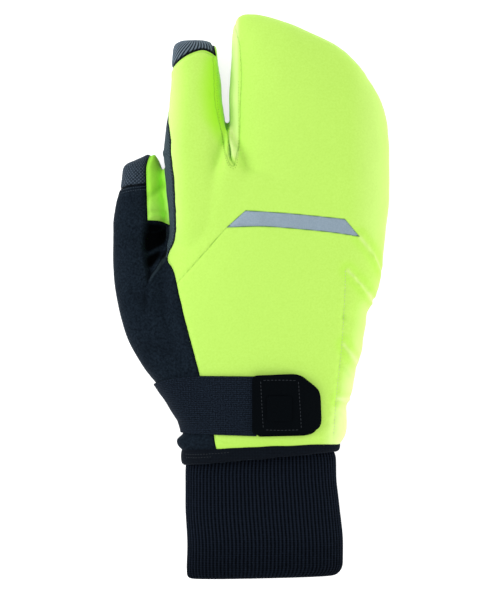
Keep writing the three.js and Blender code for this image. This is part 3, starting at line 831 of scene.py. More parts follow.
def under_side_seam(grow):
    y, z = np.array(SIDE_SEAM, float).T
    profile = np.column_stack([np.concatenate([y, y[[-1, 0]]]), np.concatenate([z + grow, [-2, -2]])])
    wall = lambda x: np.column_stack([np.full(len(profile), float(x)), profile])
    return solid("cutter", wall(-90)[::-1], wall(90)[::-1])


def boolean(obj, cutter, operation):
    apply_new(obj, "BOOLEAN", object=cutter, operation=operation, solver="MANIFOLD")
    return obj


def split(obj, cutter, inside_name):
    """Keeps what lies outside the cutter in obj, and returns what lies inside it."""
    inside = copy_of(obj, inside_name)
    tool = cutter(-GAP / 2)
    boolean(inside, tool, "INTERSECT")
    drop(tool)
    tool = cutter(GAP / 2)
    boolean(obj, tool, "DIFFERENCE")
    drop(tool)
    return inside


print("cutters reach up to", CUTTER_TOP, "mm, and leave a gap of", GAP, "mm")


# %% The hollow shell
HEM_Y, HEM_SLOPE, HEM_MIDDLE_X = -80.5, 0.069, 5


def hem_line(x):
    return HEM_Y + HEM_SLOPE * (x - HEM_MIDDLE_X)


def lining_rows(table):
    """The sections of the lining, which runs on past the wrist to leave it open."""
    rows = fine_rows(table, 2.0)
    if table is HAND:
        past = rows[:1].copy()
        past[0, 0] -= 24
        rows = np.vstack([past, rows])
    return rows


lining = melted("lining", [lining_rows(t) for t in (HAND, POUCH, INDEX, THUMB)], WALL, 72, 1.6, 4)
inner = points_of(lining)
inner[:, 2] -= sunk(inner + np.array([0, 0, WALL]))
move(lining, inner)
boolean(skin, lining, "DIFFERENCE")
drop(lining)
below = np.array([(-90, -FAR), (90, -FAR), (90, hem_line(90)), (-90, hem_line(-90))], float)
tool = solid("cutter", at_height(below, -2), at_height(below, CUTTER_TOP))
boolean(skin, tool, "DIFFERENCE")
drop(tool)
print("shell:", len(skin.data.polygons), "faces")


# %% Cut the panels in the CAD model's order
panels = {}
thumb = split(skin, above(THUMB_AREA), "thumb")
panels["thumb_back_panel"] = split(thumb, above(THUMB_PANEL, THUMB_PANEL_LOW), "thumb_back_panel")
panels["thumb_tip_patch"] = split(thumb, above(THUMB_PATCH), "thumb_tip_patch")
panels["thumb"] = thumb
panels["fingertip_cap"] = split(skin, above(CAP), "fingertip_cap")
panels["palm"] = split(skin, under_side_seam, "palm")
panels["fork_gusset"] = split(skin, fork_cutter, "fork_gusset")

REACH_OUT, REACH_IN = 4.0, WALL + 4.0  # how far the slit along the back edge reaches
CRUMB_POINTS = 60  # a loose bit with fewer points is dropped
slit = []
for sign in (1, -1):
    face = edge_curve + sign * GAP / 2 * edge_side
    slit.append(np.stack([face + REACH_OUT * edge_normals, face - REACH_IN * edge_normals], axis=1))
slit = np.stack([slit[0][:, 0], slit[0][:, 1], slit[1][:, 1], slit[1][:, 0]], axis=1)
tool = loft("cutter", slit)
pick(tool)
bpy.ops.object.mode_set(mode="EDIT")
bpy.ops.mesh.select_all(action="SELECT")
bpy.ops.mesh.quads_convert_to_tris()
bpy.ops.mesh.normals_make_consistent(inside=False)
bpy.ops.object.mode_set(mode="OBJECT")
boolean(skin, tool, "DIFFERENCE")
drop(tool)
pick(skin)
bpy.ops.mesh.separate(type="LOOSE")
parts = sorted(bpy.context.selected_objects, key=lambda o: -len(o.data.vertices))
back = parts[0]
bpy.ops.object.select_all(action="DESELECT")
side_parts = []
for part in parts[1:]:
    if len(part.data.vertices) > CRUMB_POINTS:
        side_parts.append(part)
        part.select_set(True)
    else:
        drop(part)
bpy.context.view_layer.objects.active = side_parts[0]
if len(side_parts) > 1:
    bpy.ops.object.join()
heel = side_parts[0]
area = np.array([(-90, SIDEWALL_Y), (0, SIDEWALL_Y), (0, FAR), (-90, FAR)], float)
panels["index_sidewall"] = split(heel, above(area), "index_sidewall")
panels["heel_wrap"] = heel
fingers = split(back, above(FINGERS), "finger_panel")
panels["reflective_strip"] = split(fingers, above(STRIP), "reflective_strip")
panels["finger_panel"] = fingers
panels["gather_panel"] = split(back, above(GATHER), "gather_panel")
panels["hand_panel"] = back
print("panels:", len(panels))


# %% Keep each panel's largest body, and name it
def largest_body(obj):
    pick(obj)
    bpy.ops.mesh.separate(type="LOOSE")
    bodies = sorted(bpy.context.selected_objects, key=lambda o: -len(o.data.vertices))
    for body in bodies[1:]:
        drop(body)
    return bodies[0]


for name in NAMES:
    panel = largest_body(panels[name])
    panel.name = panel.data.name = f"sewn_{name}"
    panels[name] = panel
    pick(panel)
    bpy.ops.object.shade_smooth_by_angle(angle=math.radians(40))
    count = sum(len(p.vertices) - 2 for p in panel.data.polygons)
    print(f"  {name}: {count} triangles")


# %% [markdown]
# ## What the fabric shader needs to know
#
# The shaders paint shade into creases, and along seams in the dark cloth, where the cloth is pinched beside a
# seam. Each panel point looks up the nearest point of the carved skin and keeps from it how deep it was carved,
# for the painted crease shade, and how far it is from a seam. Three more attributes are worked out from its
# place: how clearly the nearest seam shows, as a seam line in the bright cloth and as painted shade in the dark
# cloth; the painted light and shade of the bright cloth, a richer green between the fingers and paler where
# lamps light it; and where the strip of side-wall cloth runs on over the suede. The knits keep places that
# count round the finger, so that their loops follow the cloth. The shaders read all of them.

# %% Seam lines
BRIGHT = {"finger_panel", "hand_panel", "gather_panel", "fork_gusset", "thumb_back_panel"}


def bright_line(pair, x):
    """How clearly a seam shows as a darker line in the bright cloth beside it."""
    if "reflective_strip" in pair:
        return 0.9
    if pair == ("finger_panel", "hand_panel"):
        return 0.35 + 0.5 * float(fade(np.float64(x), -40, -20)) if x < 30 else 0.0
    return 0.7 if pair == ("finger_panel", "fork_gusset") else 0.0


def dark_cloth_seam_shade(pair, y):
    """How strongly shade is painted along a seam in the dark cloth; the thumb's seam only shows above the web.
    """
    return float(fade(np.float64(y), 2, 12)) if pair == ("heel_wrap", "thumb") else 1.0


pair_names = [(NAMES[a], NAMES[b]) for a, b in seam_pairs]
bright_strength = np.array([bright_line(pair, p[0]) for pair, p in zip(pair_names, seam_points)])
dark_cloth_seam_shade_strength = np.array([dark_cloth_seam_shade(pair, p[1]) for pair, p in zip(pair_names, seam_points)])
# seam points along which painted highlights run, on the ridges of the gathered side
painted_highlight_seams = [
    p for pair, p in zip(pair_names, seam_points) if p[0] > 49.5 and p[2] > 16 and set(pair) <= BRIGHT
]
for line in ([(47.6, -24.6), (50.6, -28.4), (55, -34.2)], [(45, -52.6), (48, -53.2), (51, -53.6)]):
    painted_highlight_seams += [(x, y, height(skin_tree, x, y)) for x, y in through(line, 0.5)]
painted_highlight_finder = finder(painted_highlight_seams)
print("pale seams:", len(painted_highlight_seams), "points")


# %% Painted light and shade on the bright cloth
def painted_light_and_shade_of(points):
    """Painted light and shade on the bright cloth: below 0 a richer green as painted shade, above 0 paler as
    painted light.
    """
    x, y, z = points.T
    # painted shade: a richer green between the index finger and the pouch, beside the fork, where the fingers
    # shade each other
    seam_x = np.interp(y, [70, 84, 97, 104, 124], [-13.2, -16.1, -17.8, -18.5, -17.7])
    reach = np.interp(y, [66, 75, 84, 92, 110, 126], [2, 3.5, 7, 11, 12.5, 9])
    rich_painted_shade = fade(x, seam_x - reach, seam_x - 1) * (x < -11.4) * fade(y, 72, 92) * (1 - fade(y, 120, 130))
    # painted shade: a little richer green near the hem
    rich_painted_shade += 0.25 * fade(-y, 70, 78) * (x < 20)
    # painted light: the gathered side panel turns paler towards its right rim, lit by the low lamp on the right
    side = np.interp(y, [-80, -64, -52, -34, -8, 14], [46.8, 49.9, 51.5, 55.6, 60.3, 67.6])
    painted_rim_light = fade(x, side - np.interp(y, [-70, -50, -30], [13, 10, 8]), side - 2)
    painted_rim_light *= np.interp(y, [-80, -60, -45, -20, 0, 12], [0.9, 1, 0.7, 0.35, 0.3, 0])
    # painted light: paler on the pouch's side of the fork's gusset, on the pouch's right side and on the index
    # finger's left rim, where the lamps fall
    pale = 0.9 * (x > -11.4) * (1 - fade(x, -7.6, -5.6)) * fade(y, 69, 74)
    pale += 0.3 * fade(x, 48, 68) * fade(y, 10, 40) + 0.4 * (1 - fade(x, -43, -33)) * fade(y, 20, 40)
    # painted highlights along the ridges of the gathered seams, with a band of painted shade just beside them
    off = np.array([painted_highlight_finder.find(p)[2] for p in points])
    painted_ridge_light_and_shade = 0.55 * np.exp(-((off / 0.9) ** 2)) - 0.3 * np.exp(-(((off - 3) / 2) ** 2))
    return np.clip(np.maximum(pale, painted_rim_light) + painted_ridge_light_and_shade - rich_painted_shade, -1, 1)


print("tone over the knuckles:", round(float(painted_light_and_shade_of(sample)[0]), 2))


# %% Attributes of the panels
OUTER_FACE = 0.6  # a point this near to the carved skin is on the outside
# the painted shade given to the inside faces
INSIDE_PAINTED_SHADE = 0.5


def keep(obj, name, values):
    attribute = obj.data.attributes.new(name, "FLOAT", "POINT")
    attribute.data.foreach_set("value", np.asarray(values, np.float32))


for name, panel in panels.items():
    here = points_of(panel)
    found = [crease_finder.find(p) for p in here]
    index = np.array([hit[1] for hit in found])
    outside = np.array([hit[2] for hit in found]) < OUTER_FACE
    # painted shade: the carved depth darkens creases, grooves and the web
    keep(panel, "painted_crease_shade", np.where(outside, crease_depth_for_painted_shade[index], INSIDE_PAINTED_SHADE))
    nearest = [seam_finder.find(p)[1] for p in here]
    # painted shade: the cap's lower edge is darkened, measured from its own outline
    off_seam = np.abs(signed(CAP, here[:, :2])) - 0.5 if name == "fingertip_cap" else seam_away[index]
    keep(panel, "seam_mm", np.where(outside, off_seam, 0))
    # seam_line: a seam line in the bright cloth, painted shade along the seams in the dark cloth
    keep(panel, "seam_line", (bright_strength if name in BRIGHT else dark_cloth_seam_shade_strength)[nearest])
    if name == "thumb_back_panel":
        # painted light: the thumb's neon panel is paler towards its lower end
        keep(panel, "tone", 0.16 - 0.16 * fade(here[:, 1], 44, 56))
    elif name in BRIGHT:
        # the attribute tone holds the painted light and shade of the bright cloth
        keep(panel, "tone", painted_light_and_shade_of(here))
print("panels with attributes:", len(panels))


# %% Places round the fingers, and the strip on the suede
ROUND = {  # x and z of the finger's middle, and its radius
    "fingertip_cap": (-30, 13, 13), "thumb_tip_patch": (-57, 12, 12), "index_sidewall": (-28, 18, 18),
}
STRIP_ON_SUEDE = through([(-43.8, 20.6), (-46.4, 17), (-48.4, 13.8), (-50.6, 11), (-52.2, 8)], 0.4)


def keep_places(obj, places):
    """Where the cloth's loops are counted from, as x, y and z."""
    attribute = obj.data.attributes.new("around", "FLOAT_VECTOR", "POINT")
    attribute.data.foreach_set("vector", np.asarray(places * MM, np.float32).ravel())


for name, (middle_x, middle_z, radius) in ROUND.items():
    x, y, z = points_of(panels[name]).T
    keep_places(panels[name], np.column_stack([radius * np.arctan2(x - middle_x, z - middle_z), y, 0 * y]))
suede_points = points_of(panels["heel_wrap"])
strip_finder = finder(np.column_stack([STRIP_ON_SUEDE, np.zeros(len(STRIP_ON_SUEDE))]))
away = np.array([strip_finder.find((x, y, 0))[2] for x, y, _ in suede_points])
half = np.interp(suede_points[:, 1], [6, 12, 20], [0.4, 0.65, 1.1])
strip = (1 - fade(away, half - 0.25, half + 0.25)) * fade(suede_points[:, 1], 5, 11)
keep(panels["heel_wrap"], "tape", strip)
print("strip on the suede:", int((strip > 0.5).sum()), "points")


# %% [markdown]
# ## The binding at the hem
#
# A tape of knit is rolled over the raw edge of the shell and sewn through. It is a ring round the
# wrist that follows the hand's section, a little proud of it and rounded. What the shell and the cuff
# need is taken out of it, so the roll grips the edge from outside and below.

# %% Hem roll
HEM_TOP = (-76.7, 0.045)  # y at the middle of the wrist, and slope
HEM_BOTTOM = (-83.6, 0.088)
HEM_PROUD, HEM_EDGE_PROUD = 2.0, 0.35  # how far it stands out in the middle and at its edges
HEM_RINGS = 15
HEM_HOLD = 0.3  # how deep the roll grips the shell
SMOOTH_BELOW = math.radians(40)  # a sharper edge than this stays an edge


def hem_rings(count):
    grid = []
    for t in np.linspace(1, 0, HEM_RINGS):
        y = HEM_TOP[0] + (HEM_BOTTOM[0] - HEM_TOP[0]) * t
        slope = HEM_TOP[1] + (HEM_BOTTOM[1] - HEM_TOP[1]) * t
        bulge = math.sqrt(max(0, 1 - abs(2 * t - 1) ** 2.4))
        proud = HEM_EDGE_PROUD + (HEM_PROUD - HEM_EDGE_PROUD) * bulge
        ring = rings(inset(rows_at(HAND, np.array([HEM_Y - 1])), -proud), count)[0]
        ring[:, 1] = y + slope * (ring[:, 0] - HEM_MIDDLE_X)
        grid.append(ring)
    grid = np.array(grid)
    wobble = bumps(grid.reshape(-1, 3), 9, 21).reshape(grid.shape[:2])
    grid[:, :, 1] += 0.5 * wobble
    grid[:, :, 2] = np.maximum(grid[:, :, 2], 0)
    return grid


hem = loft("hem_roll", hem_rings(220))
tool = loft("cutter", rings(inset(fine_rows(HAND)[:24], -HEM_HOLD), 144))
slab = np.array([(-90, hem_line(-90) - HEM_HOLD), (90, hem_line(90) - HEM_HOLD), (90, 0), (-90, 0)])
keeper = solid("keeper", at_height(slab, -5), at_height(slab, CUTTER_TOP))
boolean(tool, keeper, "INTERSECT")
boolean(hem, tool, "DIFFERENCE")
drop(tool)
drop(keeper)
tool = loft("cutter", rings(inset(fine_rows(CUFF), -0.5), 144))
boolean(hem, tool, "DIFFERENCE")
drop(tool)
hem = largest_body(hem)
hem.name = "hem_roll"
keep_places(hem, points_of(hem))
pick(hem)
bpy.ops.object.shade_smooth_by_angle(angle=SMOOTH_BELOW)
print("hem roll:", len(hem.data.polygons), "faces")


# %% [markdown]
# ## The rib-knit cuff
#
# The cuff is a tube of rib knit, folded double at the mouth. Ribs are modelled as real waves, since their
# shadows are what makes a knit look like one. Each ring is divided evenly along its length, so that every rib
# keeps its width where the cuff flares. The ribs wander a little, and how high each point is on its rib, less
# towards the mouth, is kept for the colour, which paints shade into the valleys and towards the mouth. A bump
# in the material gives the stitches.

# %% Cuff
RIB_PITCH = 2.0
RIB_DEPTH = 0.75
CUFF_WALL = 3.2
STEPS_PER_RIB = 8
CUFF_MOUTH_Y, CUFF_FOLD_Y, CUFF_TOP_Y = -146.9, -145.3, -73


def even(ring, count):
    """A ring divided into steps of one length, and its length."""
    closed = np.vstack([ring, ring[:1]])
    length = np.concatenate([[0], np.cumsum(np.linalg.norm(np.diff(closed, axis=0), axis=1))])
    at = np.linspace(0, length[-1], count, endpoint=False)
    return np.column_stack([np.interp(at, length, closed[:, k]) for k in range(3)]), length[-1]


girth = even(rings(rows_at(CUFF, np.array([-120.0])), 720)[0], 8)[1]
ribs = round(girth / RIB_PITCH)
half = CUFF_WALL / 2
path = [(y, 0.0, 1.0) for y in np.arange(CUFF_TOP_Y, CUFF_FOLD_Y + 0.1, -1.2)]
for turn in np.radians([30, 60, 90, 120, 150]):
    path.append((CUFF_FOLD_Y - half * math.sin(turn), half - half * math.cos(turn), 1 - turn / math.pi * 0.6))
path += [(y, CUFF_WALL, 0.4) for y in np.arange(CUFF_FOLD_Y, CUFF_TOP_Y, 2.4)]
grid, painted_rib_shade = [], []
phase = np.arange(ribs * STEPS_PER_RIB) / STEPS_PER_RIB * 2 * math.pi
for y, deep, rib in path:
    section = rows_at(CUFF, np.array([max(y, CUFF_MOUTH_Y)])) + np.array([0, deep, -deep, deep, -deep])
    ring, _ = even(rings(section, 720)[0], ribs * STEPS_PER_RIB)
    tangent = np.roll(ring, -1, axis=0) - np.roll(ring, 1, axis=0)
    tangent /= np.linalg.norm(tangent, axis=1)[:, None]
    out = np.column_stack([tangent[:, 2], 0 * tangent[:, 0], -tangent[:, 0]])
    wander = 0.35 * bumps(ring, 24, 33) * fade(-y, 84, 100)
    wave = np.abs(np.cos(phase / 2 + wander)) ** 1.2
    # painted shade: how high a point is on its rib, less towards the mouth, darkens the valleys and the mouth
    painted_rib_shade.append(wave * np.interp(y, [-146, -136, -122], [0.62, 0.78, 1]))
    ring[:, 1] = y
    slack = bumps(ring, 26, 31) * 0.5 * fade(-y, 90, 104) * (1 if deep == 0 else 0)
    ring += (rib * RIB_DEPTH * (wave - 1) + np.minimum(slack, 0.3))[:, None] * out
    ring[:, 1] += 0.9 * (1 + (ring[:, 0] - 7) / 40) * fade(-y, 115, 147)
    ring[:, 2] = np.maximum(ring[:, 2], 0.0)
    grid.append(ring)
grid = np.array(grid)[::-1]
cuff = loft("ribbed_cuff", grid, ends=False, closed=True)
keep(cuff, "rib", np.concatenate(painted_rib_shade[::-1]))
pick(cuff)
bpy.ops.object.mode_set(mode="EDIT")
bpy.ops.mesh.select_all(action="SELECT")
bpy.ops.mesh.normals_make_consistent(inside=False)
bpy.ops.object.mode_set(mode="OBJECT")
bpy.ops.object.shade_smooth()
print("cuff:", ribs, "ribs,", len(cuff.data.polygons), "faces")


# %% [markdown]
# ## The strap over the wrist
#
# A stock elastic webbing, 30 mm wide, is sewn into the side seam, runs up over the heel of the thumb
# and lies taut on the back. Flat webbing is modelled directly: rays from the middle of the wrist find
# the skin, the strap takes the arc between them, and a solidify gives it its thickness. Its two edges
# aren't parallel in plan, so each ray is cast again at the y that its own edge lines give. The UV map
# runs in millimetres along and across, for the weave.

# %% Strap
STRAP_LEFT_LOW_Z = 12.3
STRAP_THICK = 1.3
STRAP_WIDTH = 30
STRAP_LIFT = 0.3
STRAP_END_X = 3.0
TOP_EDGE = [(-70, -47), (-49.8, -45), (-44.2, -42.9), (-38.7, -41.8), (-26, -40.7), (STRAP_END_X, -40.8)]
LOW_EDGE = [(-70, -70), (-36, -70.5), (STRAP_END_X, -71.7)]
ROUND_EDGES = {"segments": 3, "limit_method": "ANGLE", "angle_limit": math.radians(50)}


def strap_y(x, across):
    top, low = (np.interp(x, *np.array(line).T) for line in (TOP_EDGE, LOW_EDGE))
    return top + (low - top) * across


def strap_points(across):
    """A line along the strap, from its right end to the side seam, and the length at each point."""
    arc = []
    for angle in np.radians(np.arange(80, 200, 0.5)):
        way, y = Vector((math.cos(angle), 0, math.sin(angle))), -41.6 - 30.1 * across
        for _ in range(3):
            place, *_ = skin_tree.ray_cast(Vector((0, y, 14)) * MM, way)
            if place:
                y = strap_y(place.x / MM, across)
        arc.append((place.x / MM, place.z / MM) if place else arc[-1])
    arc = along_mean(np.array(arc), 9)
    keep_from = np.argmax(arc[:, 0] < STRAP_END_X)
    below = np.flatnonzero(arc[:, 1] < STRAP_LEFT_LOW_Z)
    stop = below[below > keep_from][0] if len(below[below > keep_from]) else len(arc)
    arc = arc[keep_from:stop]
    length = np.concatenate([[0], np.cumsum(np.linalg.norm(np.diff(arc, axis=0), axis=1))])
    at = np.linspace(0, length[-1], 90)
    x, z = (np.interp(at, length, arc[:, k]) for k in (0, 1))
    return np.column_stack([x, strap_y(x, across), z]), at


columns = [strap_points(across) for across in np.linspace(0, 1, 34)]
grid = np.array([points for points, _ in columns])
for _ in range(3):
    grid[1:-1, :, 2] = (grid[:-2, :, 2] + 2 * grid[1:-1, :, 2] + grid[2:, :, 2]) / 4
tangent = np.gradient(grid, axis=1)
out = np.stack([-tangent[:, :, 2], 0 * tangent[:, :, 0], tangent[:, :, 0]], axis=-1)
out /= np.linalg.norm(out, axis=-1)[:, :, None]
out *= np.sign(out[:, :1, 2:])
lift = STRAP_LIFT + 0.4 * np.maximum(0, bumps(grid.reshape(-1, 3), 16, 41).reshape(grid.shape[:2]))
grid = grid + lift[:, :, None] * out
across_count, along_count = grid.shape[:2]
faces = [
    [a * along_count + i, (a + 1) * along_count + i, (a + 1) * along_count + i + 1, a * along_count + i + 1]
    for a in range(across_count - 1)
    for i in range(along_count - 1)
]
strap = make("webbing_strap", grid.reshape(-1, 3), faces)
if strap.data.polygons[0].normal.z < 0:
    strap.data.flip_normals()
layer = strap.data.uv_layers.new(name="along_across")
widths = np.linspace(0, STRAP_WIDTH, across_count)
uv = np.array([(along, wide) for (_, lengths), wide in zip(columns, widths) for along in lengths])
corner = np.empty(len(strap.data.loops), np.int32)
strap.data.loops.foreach_get("vertex_index", corner)
layer.data.foreach_set("uv", uv[corner].astype(np.float32).ravel())
apply_new(strap, "SOLIDIFY", thickness=STRAP_THICK * MM, offset=1.0, use_even_offset=True)
apply_new(strap, "BEVEL", width=0.45 * MM, **ROUND_EDGES)
pick(strap)
bpy.ops.object.shade_smooth_by_angle(angle=SMOOTH_BELOW)
print("strap:", len(strap.data.polygons), "faces")


# %% [markdown]
# ## The tab at the strap's end
#
# The tab is a stiff patch of two layers with cut corners, which closes on the strap. A grid is laid
# over the back, lifted to the skin, thickened, and cut to shape with a prism whose corners are
# rounded. The lower layer sticks out a little at the lower right.

# %% Tab
def rounded(corners, radius, steps=5):
    """An outline with its corners rounded off."""
    p = np.array(corners, float)
    out = []
    for before, here, after in zip(np.roll(p, 1, axis=0), p, np.roll(p, -1, axis=0)):
        into, away = before - here, after - here
        r_in, r_out = (min(radius, 0.45 * np.linalg.norm(v)) for v in (into, away))
        start = here + into / np.linalg.norm(into) * r_in
        end = here + away / np.linalg.norm(away) * r_out
        for t in np.linspace(0, 1, steps):
            out.append((1 - t) ** 2 * start + 2 * t * (1 - t) * here + t**2 * end)
    return np.array(out)


TAB_LOWER = rounded([
    (3.1, -41.2), (21, -40.4), (25.6, -41.4), (33.4, -48.3), (34.8, -64.6), (33.8, -68.6),
    (31.4, -70.6), (27.6, -71.5), (3.1, -72),
], 2)
TAB_UPPER = rounded([
    (0.6, -40.5), (21.5, -39.6), (26, -40.5), (34.8, -47.7), (35.8, -51.8), (36.3, -65),
    (34.6, -68.2), (31.4, -69), (27, -69.6), (0.6, -71.2),
], 2.4)
TAB_PLATE = rounded([(8, -51), (21, -51), (21, -64), (8, -64)], 1.6)
GRID_X, GRID_Y = 70, 66


def laid_sheet(name, area, lift, thick, bevel):
    """A layer of the tab, laid over the back at a height above the skin and cut to an outline."""
    low, high = area.min(axis=0) - 1.5, area.max(axis=0) + 1.5
    bpy.ops.object.select_all(action="DESELECT")
    bpy.ops.mesh.primitive_grid_add(x_subdivisions=GRID_X, y_subdivisions=GRID_Y, size=1)
    sheet = bpy.context.object
    sheet.name = name
    points = points_of(sheet) * MM
    xy = (low + high) / 2 + points[:, :2] * (high - low)
    z = np.array([height(skin_tree, x, y) for x, y in xy]).reshape(GRID_Y + 1, GRID_X + 1)
    for _ in range(12):
        z[1:-1] = (z[:-2] + 2 * z[1:-1] + z[2:]) / 4
        z[:, 1:-1] = (z[:, :-2] + 2 * z[:, 1:-1] + z[:, 2:]) / 4
    move(sheet, np.column_stack([xy, z.ravel() + lift]))
    apply_new(sheet, "SOLIDIFY", thickness=thick * MM, offset=1.0)
    tool = solid("cutter", at_height(area, 0), at_height(area, 80))
    boolean(sheet, tool, "INTERSECT")
    drop(tool)
    apply_new(sheet, "BEVEL", width=bevel * MM, **ROUND_EDGES)
    pick(sheet)
    bpy.ops.object.shade_smooth_by_angle(angle=SMOOTH_BELOW)
    return sheet


tab_lower = laid_sheet("tab_lower_layer", TAB_LOWER, 0.5, 1.3, 0.3)
tab = laid_sheet("tab_upper_layer", TAB_UPPER, 2.2, 0.9, 0.4)
tab_plate = laid_sheet("tab_moulded_plate", TAB_PLATE, 3.12, 0.5, 0.15)
print("tab:", len(tab.data.polygons) + len(tab_lower.data.polygons), "faces")


# %% [markdown]
# ## Stitches
#
# Each visible stitch is a short pillow of thread. One is modelled from a sphere of few faces,
# squeezed to a thread's size, and copied along every stitched line, each copy turned along the line
# and set on the skin. All the stitches of a line are one mesh.

# %% One stitch, and a row of them
bpy.ops.object.select_all(action="DESELECT")
bpy.ops.mesh.primitive_uv_sphere_add(segments=8, ring_count=6, radius=0.5, rotation=(0, math.pi / 2, 0))
stitch = bpy.context.object
stitch.name = "one_stitch"
bpy.ops.object.transform_apply(location=False, rotation=True, scale=False)
bpy.ops.object.mode_set(mode="EDIT")
bpy.ops.mesh.select_all(action="SELECT")
bpy.ops.transform.resize(value=(1, 0.9, 0.7))
bpy.ops.object.mode_set(mode="OBJECT")
stitch_points = points_of(stitch) * MM
stitch_faces = [list(p.vertices) for p in stitch.data.polygons]
drop(stitch)


def on_skin(line, tree):
    """Lays a plan line on a surface from above: points and normals."""
    found = [tree.ray_cast(Vector((x, y, 90)) * MM, Vector((0, 0, -1))) for x, y in line]
    return np.array([hit[0] for hit in found]) / MM, along_mean(np.array([hit[1] for hit in found]), 2)


def stitch_row(name, places, normals, pitch, length, thread, sink=0.1):
    """A mesh of stitches, a pitch apart along a line of places."""
    steps = np.concatenate([[0], np.cumsum(np.linalg.norm(np.diff(places, axis=0), axis=1))])
    at = np.arange(pitch / 2, steps[-1], pitch)
    read = lambda table, where: np.column_stack([np.interp(where, steps, column) for column in table.T])
    centre, ahead, behind = (read(places, at + step) for step in (0, 0.2, -0.2))
    up = read(normals, at)
    points, faces = [], []
    for i, (c, a, b, n) in enumerate(zip(centre, ahead, behind, up)):
        along = (a - b) / max(np.linalg.norm(a - b), 1e-9)
        across = np.cross(n, along)
        across /= np.linalg.norm(across)
        n = np.cross(along, across)
        size = stitch_points * np.array([length, thread, thread])
        points.append(c + (0.3 * thread - sink) * n + size @ np.stack([along, across, n]))
        faces += [[v + i * len(stitch_points) for v in face] for face in stitch_faces]
    obj = make(name, np.vstack(points), faces)
    pick(obj)
    bpy.ops.object.shade_smooth()
    print(f"  {name}: {len(at)} stitches")
    return obj


def shifted(line, distance):
    """A plan line moved sideways, to its left."""
    way = np.gradient(np.asarray(line, float), axis=0)
    way /= np.linalg.norm(way, axis=1)[:, None]
    return line + distance * np.column_stack([-way[:, 1], way[:, 0]])


# %% Rows of stitches
threads = {}


def row(name, line, pitch, length, thread, tone, node, tree=skin_tree, sink=0.1):
    """A row of stitches along a plan line, kept with its thread and the CAD node it belongs to."""
    places, normals = on_skin(line, tree)
    threads[name] = (stitch_row(name, places, normals, pitch, length, thread, sink), tone, node)


gather_line = through([(48.3, 13.6), (48, 0), (46.6, -25), (44.4, -46), (42.6, -71)], 0.8)
row("gather_stitches", gather_line, 1.7, 0.8, 0.36, "pale", "gather_panel", sink=0.05)
fork_line = through([
    (-18.2, 116), (-18.3, 104), (-17.4, 95), (-16.0, 84), (-13.4, 69.6), (-9.6, 64.6), (-6.7, 67.4),
    (-5.7, 80), (-5.7, 112),
], 0.6)
row("fork_stitches", shifted(fork_line, 0.7), 1.5, 0.85, 0.3, "green", "finger_panel")
patch_line = through([(-67.6, 55), (-62, 56.2), (-54.6, 57)], 0.5)
for side, distance in (("upper", 0), ("lower", -1.5)):
    row(f"patch_stitches_{side}", shifted(patch_line, distance), 1.25, 0.95, 0.34, "grey", "thumb")
hem_tree = tree_of(hem)
hem_lines = {
    "upper": [(-33.8, -81.6), (-28, -81.5), (-20, -80.9), (-10.5, -80.2)],
    "lower": [(-33.6, -83.2), (-28, -83.1), (-20.4, -82.5)],
}
for side, line in hem_lines.items():
    row(f"hem_stitches_{side}", through(line, 0.5), 1.6, 0.95, 0.4, "dull", "hem_band", hem_tree, sink=0.0)
on_wall = (edge_curve[:, 1] > 22) & (edge_curve[:, 1] < 112)
wall_row = (edge_curve - 0.9 * edge_side - 0.35 * edge_normals)[on_wall]
wall_stitches = stitch_row("sidewall_stitches", wall_row, edge_normals[on_wall], 2.0, 1.15, 0.45)
threads["sidewall_stitches"] = (wall_stitches, "charcoal", "index_sidewall")
tab_tree = tree_of(tab)
tab_frame = {
    "left": [(4.9, -43.2), (5.5, -55), (6.3, -68.2)],
    "right": [(24.2, -43.4), (25, -55), (25.8, -68)],
    "top": [(6, -42.9), (15, -42.8), (23, -43)],
    "bottom": [(7.4, -68.4), (16, -68.6), (24.8, -68.4)],
}
for side, line in tab_frame.items():
    row(f"tab_stitches_{side}", through(line, 0.5), 1.9, 1.35, 0.4, "dull", "strap_tab", tab_tree)
print("rows of stitches:", len(threads))


# %% [markdown]
# ## Materials
#
# Each material starts from the real cloth and from how its surface was made. One function adds a
# node with its settings and links, and a second one lays a colour over the cloth where some value
# says so. Object coordinates are in metres, so a noise with a grain of one millimetre has a scale of
# 1000. The bands of a wave texture lie 2 pi / 20 of a metre apart at scale 1.

# %% One function that adds a node
PER_MM = 1000.0  # the scale of one grain to a millimetre
WAVE_UNIT = 2 * math.pi / 20  # how far apart the bands of a wave lie at scale 1


def linear(hex_code):
    """A web colour as the linear red, green and blue that a shader needs, and alpha."""
    parts = [int(hex_code[i : i + 2], 16) / 255 for i in (1, 3, 5)]
    return [*(c / 12.92 if c <= 0.04045 else ((c + 0.055) / 1.055) ** 2.4 for c in parts), 1.0]


def fill_in(tree, node, inputs):
    """Links those inputs that are sockets and sets the others; a hex code becomes a colour."""
    for key, value in inputs.items():
        if isinstance(value, bpy.types.NodeSocket):
            tree.links.new(value, node.inputs[key])
        else:
            node.inputs[key].default_value = linear(value) if isinstance(value, str) else value


def add(tree, kind, output, inputs=None, **settings):
    """Adds a node with its settings and links, and gives back one of its outputs."""
    made = tree.nodes.new("ShaderNode" + kind)
    for key, value in settings.items():
        setattr(made, key, value)
    fill_in(tree, made, inputs or {})
    return made.outputs[output]


def new_material(name, **values):
    """A new material, its nodes and its shader, with values for the shader's own sockets."""
    material = bpy.data.materials.new(name)
    material.use_nodes = True
    tree = material.node_tree
    shader = tree.nodes["Principled BSDF"]
    fill_in(tree, shader, {key.replace("_", " ").title().replace("Ior", "IOR"): v for key, v in values.items()})
    return material, tree, shader


